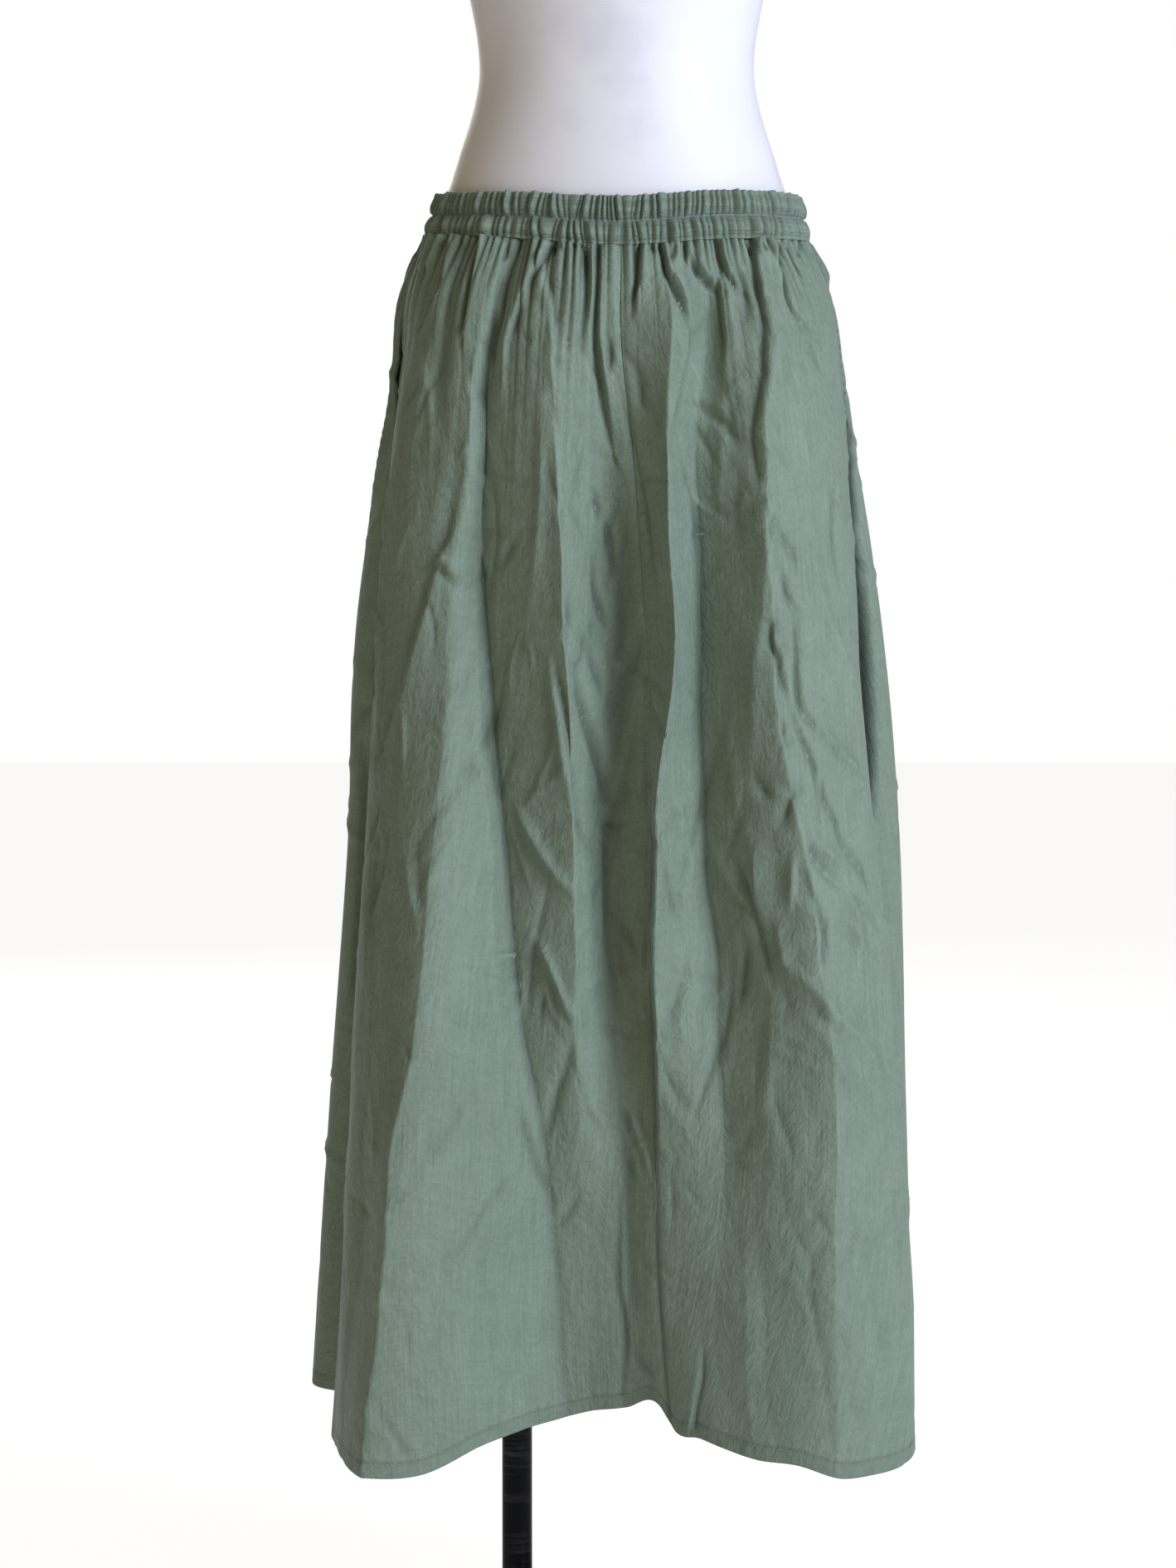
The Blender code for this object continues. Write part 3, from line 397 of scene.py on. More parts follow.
    # the middle, right.
    (4.5, 3, 4, 1.3, 0.3, 0.3, 40.2, 870, 41.5, 862, 43, 856, 44.8, 852),
    (-3.8, 2.5, 2.5, 1.3, 0.3, 0.3, 40.5, 840, 42, 846, 44, 852),
    (3.2, 6, 5, 1.3, 0.5, 0.3, 40, 860, 40.5, 840, 40.5, 830, 39.5, 802, 39, 785, 38, 769, 37, 755,
     36.2, 727, 35.5, 699, 34.8, 681, 33, 654),
    (-3.3, 2.2, 2.2, 1.3, 0.3, 0.3, 43.8, 844, 44.8, 836, 46.2, 830, 47.2, 826, 47.8, 814),
    (-3.8, 2.5, 2.5, 1.3, 0.3, 0.3, 44, 814, 45, 794, 47.8, 783),
    (-3.8, 2.5, 2.5, 1.3, 0.3, 0.3, 40, 796, 41.5, 786, 39.8, 775, 39.8, 759, 41.2, 749, 41.8, 735,
     43.2, 721, 43.5, 709),
    (3.8, 2.5, 2.5, 1.3, 0.3, 0.3, 40.5, 767, 42, 755, 42.2, 745),
    (-4.5, 3, 3, 1.3, 0.3, 0.3, 46, 781, 46, 763, 45.2, 735, 45.5, 717, 47.8, 707, 49.2, 701),
    (-3.8, 2.5, 2.5, 1.3, 0.3, 0.3, 43.5, 711, 44.2, 703, 45.5, 689, 46.5, 679, 47, 662, 46.2, 636),
    (4.5, 3, 3, 1.3, 0.3, 0.3, 49, 707, 52.2, 691, 56.2, 676, 59, 664),
    (-3.8, 2.5, 2.5, 1.3, 0.3, 0.3, 40, 713, 41, 697, 43.2, 703),
    (-4.5, 3, 3, 1.3, 0.3, 0.3, 35, 672, 36, 662, 37.5, 656),
    (-4.5, 3, 3, 1.3, 0.3, 0.3, 37.5, 666, 39.8, 664, 41.5, 662, 44.5, 668),
    (-4.5, 3, 3, 1.3, 0.3, 0.3, 41.5, 662, 39.8, 652, 38.8, 636),
    (-3.8, 2.5, 2.5, 1.3, 0.3, 0.3, 48.5, 672, 48.2, 654, 50.3, 636, 51, 626),
    (-3.4, 6, 6, 1.6, 0.3, 0.3, 7.5, 783, 5.5, 761, 3.7, 737),
    (-3.8, 3, 2.5, 1.3, 0.3, 0.3, 30.5, 612, 31.8, 600, 32.8, 588, 33.8, 569, 34.8, 545, 35.5, 529),
    (-3.4, 2.5, 2.5, 1.3, 0.3, 0.3, 29.2, 586, 30.8, 580, 32.5, 576),
    (4, 4, 5, 1.4, 0.3, 0.3, 34.5, 622, 34, 594, 34.2, 559),
    (3.7, 4.5, 3.5, 1.4, 0.4, 0.3, 36.8, 543, 38.8, 537, 41.5, 525, 43.5, 511, 46.2, 499, 50.3, 477,
     52.2, 458),
    (-2.2, 4, 4, 1.4, 0.3, 0.3, 40.8, 517, 42.8, 501, 45.8, 485),
    (-4.5, 3, 3, 1.3, 0.3, 0.3, 43.5, 624, 44, 616, 46.8, 602, 50.8, 590),
    (4.5, 3, 4, 1.3, 0.3, 0.3, 44.8, 626, 47.8, 614, 50.3, 604),
    (4.5, 4, 4, 1.4, 0.3, 0.3, 50.8, 590, 51.2, 574, 51, 555, 49, 519),
    (-3.8, 2.5, 2.5, 1.3, 0.3, 0.3, 49.5, 632, 52, 616, 55.2, 600, 55.2, 588),
    (-3.8, 2.5, 2.5, 1.3, 0.3, 0.3, 50.5, 588, 55, 571, 55.8, 563),
    (3.8, 3, 2.5, 1.3, 0.3, 0.3, 40.5, 620, 40, 596, 39.2, 582),
    (-4, 3, 3, 1.3, 0.3, 0.3, 41.8, 604, 42.5, 588, 44, 573, 44.2, 559, 43, 545, 42, 529),
    (3.4, 3, 3, 1.3, 0.3, 0.3, 37.5, 571, 37.2, 555, 38.2, 533),
    (-1.6, 3, 3, 1.3, 0.3, 0.3, 36.8, 527, 37.2, 517, 37.8, 509),
    (2.4, 4, 5, 1.6, 0.3, 0.3, 35.5, 519, 34.8, 495, 34, 473, 32.8, 452, 32.2, 440),
    (-1.5, 3, 3, 1.3, 0.3, 0.3, 34.5, 467, 34, 442, 34.8, 424, 35.8, 406),
    (-2.4, 4, 4, 1.4, 0.3, 0.3, 18.5, 545, 16, 519, 13.2, 501, 10.8, 485),
    (-1.7, 3, 3, 1.3, 0.3, 0.3, 11, 462, 12.8, 452, 14.8, 442, 19, 428),
    (0.7, 3, 3, 1.3, 0.3, 0.3, 10, 440, 13.2, 432, 16.5, 416, 19.8, 400),
    (-2.4, 3, 3, 1.3, 0.3, 0.3, 29.5, 547, 28.5, 525, 26.5, 491, 22.8, 464, 19.5, 438, 18.2, 428),
    (-4, 3, 3, 1.3, 0.3, 0.3, 31.8, 555, 30.8, 531, 29.5, 509),
    (-0.8, 6, 6, 1.6, 0.3, 0.3, 28.8, 485, 27.5, 458, 26.3, 428, 26.3, 402),
    (-1.3, 4, 4, 1.6, 0.3, 0.3, 31.3, 434, 29.2, 422, 27.5, 412, 26.8, 394),
    # lower left.
    (5.2, 5, 3.5, 1.4, 0.3, 0.3, -22.8, 553, -19.5, 543, -16.2, 525, -13.2, 505, -10.5, 491),
    (-2.7, 5, 5, 1.6, 0.3, 0.3, -10.5, 489, -11.8, 477, -13.2, 462, -16, 436, -18, 414, -19.8, 402),
    (-1.3, 2.5, 2.5, 1.3, 0.3, 0.3, -12.2, 462, -10.2, 450, -11, 444),
    (1.3, 3, 3, 1.4, 0.3, 0.3, -25.5, 535, -25.2, 513, -27.5, 491, -28, 479),
    (1.1, 3, 3, 1.4, 0.3, 0.3, -38.5, 491, -37.8, 473, -36.5, 458),
    (3, 2, 2.5, 1.3, 0.3, 0.3, -60.8, 630, -61.5, 594, -60.5, 571, -59.3, 525),
    (-1.1, 2.5, 2.5, 1.3, 0.3, 0.3, -30, 224, -28.2, 224, -26.5, 226),
    (1.7, 4, 4, 1.4, 0.3, 0.3, -45.8, 242, -43, 232, -40.8, 214),
    (-1.5, 4, 4, 1.4, 0.3, 0.3, -43.8, 244, -41.5, 228, -39.2, 212),
    (1.4, 3, 3, 1.4, 0.3, 0.3, -42, 242, -40, 224, -38, 212),
    (-1.9, 2.2, 2.2, 1.3, 0.3, 0.6, 0.8, 362, 0.2, 329, 0.2, 293, 1.8, 265, 1.8, 234, 0.8, 210),
    (1.3, 3, 8, 1.4, 0.3, 0.3, 1.5, 362, 1.2, 329, 1.5, 293, 2.8, 265, 2.8, 234),
    (-1.9, 2.5, 3, 1.3, 0.3, 0.3, 3.7, 238, 6.2, 226, 9, 218),
    (1.3, 5, 5, 1.6, 0.3, 0.3, -49.2, 353, -52, 317, -53, 287, -53.2, 263),
    # lower right.
    (-1.3, 2.5, 2.5, 1.3, 0.3, 0.3, 13, 384, 13, 368, 12.8, 353),
    (-2.4, 1.6, 1.6, 1, 0.2, 1, 19, 267, 18.8, 246, 17.5, 222, 17, 206),
    (2.4, 6, 1.6, 1.2, 0.3, 1, 18.2, 255, 17.8, 242, 16.8, 222, 16.2, 208),
    (0.9, 4, 9, 1.3, 0.3, 0.8, 27, 384, 27.8, 353, 27.2, 319, 26.8, 263, 26.8, 244, 27.5, 212),
    (-0.9, 4, 6, 1.4, 0.3, 0.8, 29.5, 374, 29.8, 341, 30, 277, 29.8, 250, 30.5, 216),
    (-1.2, 3, 3, 1.3, 0.3, 0.5, 33.8, 390, 34.5, 364, 35.8, 351, 37, 341, 36.8, 309, 38, 275, 38.5,
     236, 38.8, 210),
    (1.1, 3, 3, 1.3, 0.3, 0.3, 35.2, 323, 36, 307, 36.5, 293),
    (-1.5, 2.2, 2.2, 1.3, 0.4, 0.4, 35, 359, 36.5, 364, 38, 370, 39.5, 364),
    (-1.3, 2.2, 2.2, 1.3, 0.3, 0.5, 37.8, 378, 38.8, 370, 39.5, 364),
    (-1.3, 2.2, 2.2, 1.3, 0.3, 0.5, 37.2, 345, 38.2, 351, 39.5, 357),
    (-2.1, 1.8, 1.8, 1.3, 0.6, 0.3, 39.8, 362, 41, 360, 42.5, 359, 46.5, 355, 49.2, 357),
    (1.4, 2.5, 2.5, 1.3, 0.5, 0.3, 40, 364, 44.2, 360, 49, 357),
    (-1.1, 1.8, 1.8, 1.3, 0.5, 0.3, 39.8, 366, 41.8, 368, 44.2, 366, 49.2, 359),
    (-1.5, 5, 5, 1.6, 0.3, 0.3, 47.2, 337, 45.8, 317, 46.8, 283, 47.5, 263),
    (-1.1, 3, 3, 1.4, 0.3, 0.3, 41.5, 248, 42.2, 236, 42.8, 226),
    # deep folds along the side seams.
    (-13, 3, 6, 2, 0.1, 0.1, 86.5, 935, 87, 900, 86.6, 860, 85.8, 800, 84.6, 740, 83.8, 700, 82.8,
     650, 81.8, 610),
    (-5, 2.5, 2.5, 2, 0, 0, -87.5, 700, -87.2, 660, -87, 610, -86.8, 560, -86.5, 500, -86.5, 460),
))


class BandRow(NamedTuple):
    """Outer half sizes of the waistband at a share of its height."""

    rise: float
    left: float
    right: float
    front: float
    back: float


BAND_ROWS = (
    BandRow(0.00, 0.1396, 0.1406, 0.1026, 0.1036),
    BandRow(0.25, 0.1385, 0.1402, 0.1028, 0.1037),
    BandRow(0.50, 0.1352, 0.1378, 0.1004, 0.1014),
    BandRow(0.75, 0.1332, 0.1372, 0.1006, 0.1015),
    BandRow(1.00, 0.1308, 0.1348, 0.0988, 0.0997),
)


class FormSection(NamedTuple):
    """Half sizes of the dress form at a height."""

    height: float
    half_width: float
    front: float
    back: float
    square: float


FORM_SECTIONS = (
    FormSection(0.8, 0.136, 0.088, 0.095, 2.2),
    FormSection(0.86, 0.143, 0.094, 0.104, 2.2),
    FormSection(0.93, 0.147, 0.099, 0.108, 2.1),
    FormSection(0.98, 0.146, 0.0985, 0.105, 2.1),
    FormSection(1.03, 0.1395, 0.097, 0.0995, 2.0),
    FormSection(1.07, 0.131, 0.094, 0.095, 2.0),
    FormSection(1.11, 0.118, 0.0885, 0.088, 2.0),
    FormSection(1.176, 0.101, 0.0815, 0.078, 2.0),
    FormSection(1.236, 0.1085, 0.088, 0.081, 2.0),
    FormSection(1.3, 0.125, 0.101, 0.088, 2.0),
    FormSection(1.36, 0.14, 0.117, 0.093, 2.1),
    FormSection(1.42, 0.152, 0.105, 0.093, 2.2),
    FormSection(1.465, 0.16, 0.085, 0.087, 2.3),
    FormSection(1.5, 0.148, 0.07, 0.077, 2.3),
    FormSection(1.525, 0.113, 0.06, 0.069, 2.2),
    FormSection(1.548, 0.076, 0.053, 0.061, 2.0),
    FormSection(1.575, 0.057, 0.051, 0.056, 2.0),
    FormSection(1.62, 0.052, 0.05, 0.052, 2.0),
)


# ---------------------------------------------------------- shapes in general
def eased(share: Array) -> Array:
    """Smooth S over a share between 0 and 1."""
    return share * share * (3.0 - 2.0 * share)


def smooth_along(marks: Sequence[float], values: Sequence[float], at: Array) -> Array:
    """Smooth curve through values at marks: a cubic on each span, with matching slopes.

    Args:
        marks: Places of the values, rising or falling.
        values: What the curve passes through.
        at: Places to read the curve at, held inside the marks.

    Returns:
        The curve's values, in the shape of at.
    """
    places = np.asarray(marks, dtype=float)
    heights = np.asarray(values, dtype=float)
    if places[0] > places[-1]:
        places, heights = places[::-1], heights[::-1]
    slopes = np.gradient(heights, places)
    at = np.clip(at, places[0], places[-1])
    left = np.clip(np.searchsorted(places, at, side="right") - 1, 0, len(places) - 2)
    span = places[left + 1] - places[left]
    t = (at - places[left]) / span
    rise = eased(t)
    bend = t * (1.0 - t)
    return (heights[left] * (1.0 - rise) + heights[left + 1] * rise
            + span * bend * ((1.0 - t) * slopes[left] - t * slopes[left + 1]))


def read_table(rows: Sequence[NamedTuple], columns: Sequence[str], at: Array) -> list[Array]:
    """Smooth curves through a table's columns, read at places in its first column."""
    marks = [row[0] for row in rows]
    return [smooth_along(marks, [getattr(row, column) for row in rows], at) for column in columns]


def smooth_step(low: float, high: float, at: Array) -> Array:
    """0 up to low, 1 from high, and a smooth S between."""
    return eased(np.clip((at - low) / (high - low), 0.0, 1.0))


def bell(away: Array, width: float | Array, crest: float = 2.0) -> Array:
    """1 on a line and 0 far from it: exp(-(|away| / width) ** crest)."""
    return np.exp(-(np.abs(away) / width) ** crest)


def turned(angle: Array) -> Array:
    """The same angle between -pi and pi."""
    return (angle + math.pi) % TURN - math.pi


def full_turn(columns: int) -> Array:
    """Angles of so many columns, evenly all the way round."""
    return np.linspace(0.0, TURN, columns, endpoint=False)


def lengths_along(steps: Array, axis: int) -> Array:
    """Running length of a line of steps, from 0.

    Args:
        steps: Vectors from each point to the next.
        axis: The way they run.

    Returns:
        Lengths, one more than the steps.
    """
    sizes = np.linalg.norm(steps, axis=-1)
    start = np.zeros_like(sizes.take([0], axis))
    return np.concatenate([start, np.cumsum(sizes, axis=axis)], axis)


def ring(angle: Array, left: Array, right: Array, front: Array, back: Array,
         square: Array) -> tuple[Array, Array, Array, Array, Array]:
    """Plan of a squared oval: (|x| / side) ** square + (|y| / depth) ** square = 1.

    Args:
        angle: Angle round the body.
        left, right, front, back: Half sizes.
        square: 2 for an ellipse, more for squarer corners.

    Returns:
        x, y, the outward direction's x and y, and the radius.
    """
    sine = np.sin(angle)
    cosine = np.cos(angle)
    side = np.where(sine >= 0.0, right, left)
    depth = np.where(cosine >= 0.0, front, back)
    across = np.abs(sine) / side
    deep = np.abs(cosine) / depth
    radius = (across ** square + deep ** square) ** (-1.0 / square)
    out_x = np.sign(sine) * (radius * across) ** (square - 1.0) / side
    out_y = -np.sign(cosine) * (radius * deep) ** (square - 1.0) / depth
    size = np.hypot(out_x, out_y)
    return radius * sine, -radius * cosine, out_x / size, out_y / size, radius


def graded(marks: Sequence[float], spacings: Sequence[float], count: int) -> Array:
    """Rising places from the first mark to the last, as close together as asked.

    Args:
        marks: Places at which a spacing is wanted.
        spacings: The wanted spacing at each mark, up to one common factor.
        count: How many places.

    Returns:
        The places.
    """
    fine = np.linspace(marks[0], marks[-1], 4000)
    density = 1.0 / np.interp(fine, marks, spacings)
    total = np.append(0.0, np.cumsum(0.5 * (density[1:] + density[:-1])))
    return np.interp(np.linspace(0.0, total[-1], count), total, fine)


def direction(vectors: Array) -> Array:
    """The same vectors at length 1."""
    return vectors / np.linalg.norm(vectors, axis=-1, keepdims=True)


@dataclass(frozen=True)
class SoftNoise:
    """Smooth seeded bumps round the body, between -1 and 1.

    A lattice of seeded numbers, blended by smooth steps; it joins up all the way round.
    """

    seed: int
    around: int                    # how many cells all the way round
    tall: float                    # height of a cell

    def at(self, angle: Array, height: Array) -> Array:
        """Read the bumps at an angle and a height.

        Args:
            angle, height: Grids of the same shape.

        Returns:
            The bumps there.
        """
        rows = int(2.0 / self.tall) + 2
        table = np.random.default_rng(self.seed).uniform(-1.0, 1.0, (rows, self.around))
        across = (np.asarray(angle) / TURN % 1.0) * self.around
        up = np.clip(np.asarray(height) / self.tall, 0.0, rows - 1.001)
        column = np.floor(across).astype(int) % self.around
        row = np.floor(up).astype(int)
        s = eased(across - np.floor(across))
        t = eased(up - row)
        after = (column + 1) % self.around
        low = table[row, column] * (1.0 - s) + table[row, after] * s
        high = table[row + 1, column] * (1.0 - s) + table[row + 1, after] * s
        return low * (1.0 - t) + high * t


@dataclass(frozen=True)
class Ribs:
    """Uneven gathers all round the body: rounded ribs between narrow valleys."""

    seed: int
    count: int
    unevenness: float

    def _table(self) -> tuple[Array, Array, Array, Array]:
        """Valley angles, and each rib's size, lean and reach.

        Returns:
            One number for each rib in each array.
        """
        draw = np.random.default_rng(self.seed)
        shift = draw.uniform(-0.5, 0.5, self.count) * self.unevenness
        valleys = (np.arange(self.count) + shift) * TURN / self.count
        sizes = draw.uniform(0.45, 1.35, self.count)
        leans = draw.uniform(0.6, 1.7, self.count)
        reaches = draw.uniform(0.0, 1.0, self.count)
        return valleys, sizes, leans, reaches

    def at(self, angle: Array) -> tuple[Array, Array]:
        """Height of the ribs, 0 in a valley and about 1 on a crest, and each rib's reach.

        Args:
            angle: Any array of angles.

        Returns:
            Heights and reaches, in the array's shape.
        """
        valleys, sizes, leans, reaches = self._table()
        round_way = np.asarray(angle) % TURN
        closed = np.append(valleys, valleys[0] + TURN)
        round_way = np.where(round_way < closed[0], round_way + TURN, round_way)
        rib = np.clip(np.searchsorted(closed, round_way, side="right") - 1, 0, self.count - 1)
        width = closed[rib + 1] - closed[rib]
        share = np.clip((round_way - closed[rib]) / width, 0.0, 1.0)
        wide = width * self.count / TURN
        rise = np.sin(math.pi * share ** leans[rib]) ** 0.7
        return rise * sizes[rib] * wide, reaches[rib]


@dataclass(frozen=True)
class Crinkles:
    """A seeded family of uneven straight creases over one stretch of the cloth."""

    seed: int
    count: int
    angles: tuple[float, float]        # degrees
    heights: tuple[float, float]       # height of each crease's upper end
    lengths: tuple[float, float]       # metres
    leans: tuple[float, float]         # degrees away from upright
    rises: tuple[float, float]         # mm
    widths: tuple[float, float]        # half widths, in mm
    start: float = 0.3

    def creases(self) -> list[Crease]:
        """Draw the creases: short ones are commoner than long ones.

        Returns:
            The family's creases.
        """
        draw = np.random.default_rng(self.seed)
        made = []
        for number in range(self.count):
            angle = self.angles[0] + (self.angles[1] - self.angles[0]) * (
                number + draw.uniform(0.1, 0.9)) / self.count
            top = draw.uniform(*self.heights)
            long = self.lengths[0] + (self.lengths[1] - self.lengths[0]) * draw.uniform() ** 2
            lean = math.radians(draw.uniform(*self.leans)) * draw.choice((-1.0, 1.0))
            rise = draw.uniform(*self.rises) * draw.choice((-1.0, 1.0))
            before, after = draw.uniform(*self.widths, 2)
            turn = math.degrees(long * math.sin(lean) / MEAN_RADIUS)
            bend = draw.uniform(-0.12, 0.12) * math.degrees(long / MEAN_RADIUS)
            fall = long * math.cos(lean)
            made.append(Crease(rise, before, after, CRINKLE_CREST, self.start, CRINKLE_END,
                               (angle, angle + 0.5 * turn + bend, angle + turn),
                               (top, top - 0.5 * fall, top - fall)))
        return made


CRINKLES = (
    Crinkles(41, 46, (92.0, 268.0), (1.050, 1.052), (0.05, 0.24), (0.0, 5.0), (2.2, 4.8),
             (3.0, 6.0), start=1.0),
    Crinkles(42, 90, (88.0, 272.0), (1.046, 1.052), (0.012, 0.05), (0.0, 9.0), (1.5, 3.0),
             (1.8, 3.0), start=1.0),
    Crinkles(43, 150, (88.0, 272.0), (0.26, 1.00), (0.02, 0.12), (10.0, 80.0), (0.7, 2.2),
             (2.2, 4.5)),
    Crinkles(44, 220, (-90.0, 88.0), (0.30, 0.97), (0.015, 0.075), (15.0, 85.0), (0.7, 2.1),
             (1.6, 3.0)),
    Crinkles(45, 50, (-84.0, 84.0), (0.55, 1.00), (0.05, 0.18), (0.0, 25.0), (0.9, 2.5),
             (2.4, 4.8)),
)
ALL_CREASES = CREASES + tuple(crease for family in CRINKLES for crease in family.creases())


# -------------------------------------------------------------------- meshes
def make_object(name: str, points: Array, faces: list, finish: Finish,
                thread: Array | None = None, hollow: Array | None = None) -> Piece:
    """Make a smooth-shaded mesh object at the origin.

    Args:
        name: The piece's name.
        points: Rows of x, y, z.
        faces: Faces as lists of point numbers, outwards.
        finish: The material.
        thread: Rows of u, v for the thread map, one for each point.
        hollow: How deep in a fold each point lies, kept as the painted shade that darkens the cloth
            there.

    Returns:
        The new object.
    """
    mesh = bpy.data.meshes.new(name)
    mesh.from_pydata(points.tolist(), [], faces)
    mesh.shade_smooth()
    mesh.materials.append(finish)
    if thread is not None:
        corners = np.empty(len(mesh.loops), dtype=np.int64)
        mesh.loops.foreach_get("vertex_index", corners)
        layer = mesh.uv_layers.new(name=THREAD_MAP)
        layer.uv.foreach_set("vector", thread[corners].astype(np.float32).ravel())
    if hollow is not None:
        mark = mesh.attributes.new(PAINTED_SHADE, "FLOAT", "POINT")
        mark.data.foreach_set("value", hollow.astype(np.float32).ravel())
    mesh.validate()
    made = bpy.data.objects.new(name, mesh)
    bpy.context.scene.collection.objects.link(made)
    return made


def thread_of(grid: Array) -> Array:
    """Cloth coordinates of a grid of points, in metres.

    u is the length along each row from the middle column, and v the length down each
    column, so the threads run as in one flat piece of cloth.

    Args:
        grid: Points in rows and columns.

    Returns:
        A u, v pair for each point.
    """
    u = lengths_along(np.diff(grid, axis=1), 1)
    u -= u[:, [grid.shape[1] // 2]]
    return np.stack([u, lengths_along(np.diff(grid, axis=0), 0)], axis=-1)


def painted_shade_of(grid: Array, outwards: Array, reach: int, depth: float) -> Array:
    """How deep each point lies between its neighbours a few columns away, as a share of painted
    shade.

    (mean of both neighbours - point) . outwards / depth, between 0 and 1.2.

    Args:
        grid: Points in rows and columns.
        outwards: Direction at each point.
        reach: How many columns away the neighbours are.
        depth: Depth that counts as 1.

    Returns:
        A share for each point.
    """
    before = np.concatenate([grid[:, :1].repeat(reach, axis=1), grid[:, :-reach]], axis=1)
    after = np.concatenate([grid[:, reach:], grid[:, -1:].repeat(reach, axis=1)], axis=1)
    sunk = np.sum((0.5 * (before + after) - grid) * outwards, axis=-1) / depth
    sunk[:, :reach] = 0.0
    sunk[:, -reach:] = 0.0
    sunk = np.clip(sunk, 0.0, 1.2)
    for _ in range(2):
        for axis in (0, 1):
            sunk = 0.5 * sunk + 0.25 * (np.roll(sunk, 1, axis) + np.roll(sunk, -1, axis))
    return sunk


def grid_quads(rows: int, columns: int, first: int = 0, closed: bool = False,
               flipped: bool = False) -> Array:
    """Faces of a grid of points, as an array of four point numbers a face.

    Args:
        rows, columns: Size of the grid; rows run down and columns towards +X in front.
        first: Number of the grid's first point.
        closed: The last column joins the first.
        flipped: Faces point the other way.

    Returns:
        Rows of four point numbers.
    """
    row = np.arange(rows - 1)[:, None]
    column = np.arange(columns if closed else columns - 1)[None, :]
    after = (column + 1) % columns
    corners = np.stack([row * columns + column, (row + 1) * columns + column,
                        (row + 1) * columns + after, row * columns + after], axis=-1)
    if flipped:
        corners = corners[..., ::-1]
    return corners.reshape(-1, 4) + first


def rim_faces(outer: Array, inner: Array, flipped: bool, every: int = 1) -> list:
    """Faces between matching borders of two layers.

    Args:
        outer, inner: Point numbers along each border.
        flipped: Faces point the other way.
        every: How many outer edges there are for one inner edge.

    Returns:
        Faces as lists of point numbers.
    """
    last = len(outer) - 1
    corners = [outer[k:last + 1 - every + k:every] for k in range(every)] + [outer[every::every]]
    side = np.stack([*corners, inner[1:], inner[:-1]], axis=-1)
    return (side[:, ::-1] if flipped else side).tolist()


def sheet_rim(outer: Array, inner: Array, every: int = 1) -> list:
    """Faces round all four borders of two layers of point numbers.

    Args:
        outer, inner: Their numbers, in rows and columns.
        every: How many outer edges there are for one inner edge.

    Returns:
        Faces as lists of point numbers.
    """
    rows = slice(None)
    borders = (((0,), False), ((-1,), True), ((rows, 0), True), ((rows, -1), False))
    return [face for place, flipped in borders
            for face in rim_faces(outer[place], inner[place], flipped, every)]


def cloth_shell(name: str, grid: Array, inwards: Array, wall: Array,
                finish: Finish, hollow: Array) -> Piece:
    """Closed thin shell: a fine outer grid, an inner one half as fine, and their rim.

    Args:
        name: The piece's name.
        grid: Outer points, with an odd number of rows and columns.
        inwards: Direction to the inside at each point.
        wall: Thickness of the cloth at each point.
        finish: The material.
        hollow: How deep in a fold each outer point lies, as a share of painted shade.

    Returns:
        The new object.
    """
    rows, columns = grid.shape[:2]
    inner = grid[::2, ::2] + inwards[::2, ::2] * wall[::2, ::2, None]
    inner_rows, inner_columns = inner.shape[:2]
    count = rows * columns
    faces = grid_quads(rows, columns).tolist()
    faces += grid_quads(inner_rows, inner_columns, count, flipped=True).tolist()
    faces += sheet_rim(np.arange(count).reshape(rows, columns),
                       count + np.arange(inner_rows * inner_columns).reshape(inner.shape[:2]), 2)
    thread = thread_of(grid)
    points = np.concatenate([grid.reshape(-1, 3), inner.reshape(-1, 3)])
    uv = np.concatenate([thread.reshape(-1, 2), thread[::2, ::2].reshape(-1, 2)])
    sunk = np.concatenate([hollow.ravel(), np.zeros(inner_rows * inner_columns)])
    return make_object(name, points, faces, finish, uv, sunk)


def ring_solid(name: str, grid: Array, finish: Finish, capped: bool = True,
               thread: Array | None = None, hollow: Array | None = None) -> Piece:
    """Solid from closed rings of points, one in each row of a grid.

    Args:
        name: The piece's name.
        grid: Points; the rows run down the outside.
        finish: The material.
        capped: Close the first and last ring with a face each; else join them to each other.
        thread, hollow: As for make_object.

    Returns:
        The new object.
    """
    rows, columns = grid.shape[:2]
    last = (rows - 1) * columns
    faces = grid_quads(rows, columns, closed=True).tolist()
    if capped:
        faces += [list(range(columns)), list(range(last, last + columns))[::-1]]
    else:
        column = np.arange(columns)
        after = (column + 1) % columns
        faces += np.stack([last + column, column, after, last + after], axis=-1).tolist()
    return make_object(name, grid.reshape(-1, 3), faces, finish, thread, hollow)


def lathe(x: float, y: float, profile: Sequence[tuple[float, float]], columns: int = 96) -> Array:
    """Grid of points: each (radius, height) row turned about an upright axis at x, y.

    Args:
        x, y: Place of the axis.
        profile: The rows.
        columns: Points in a ring.

    Returns:
        Points, a ring in each row.
    """
    angle = full_turn(columns)
    radius = np.array([row[0] for row in profile])[:, None]
    height = np.array([row[1] for row in profile])[:, None]
    return np.stack([x + radius * np.sin(angle), y - radius * np.cos(angle),
                     np.broadcast_to(height, (len(profile), columns))], axis=-1)


def rounded(low: tuple[float, float], high: tuple[float, float], ease: float,
            steps: int = 4) -> list[tuple[float, float]]:
    """Profile of a turned block between two (radius, height) corners, its edges eased.

    Args:
        low, high: The corners.
        ease: Radius of the edges.
        steps: Steps round an edge.

    Returns:
        (radius, height) rows, going up.
    """
    turn = [0.5 * math.pi * step / steps for step in range(steps + 1)]
    foot = [(low[0] - ease + ease * math.sin(a), low[1] + ease - ease * math.cos(a)) for a in turn]
    return foot + [(high[0] - ease + ease * math.cos(a), high[1] - ease + ease * math.sin(a))
                   for a in turn]


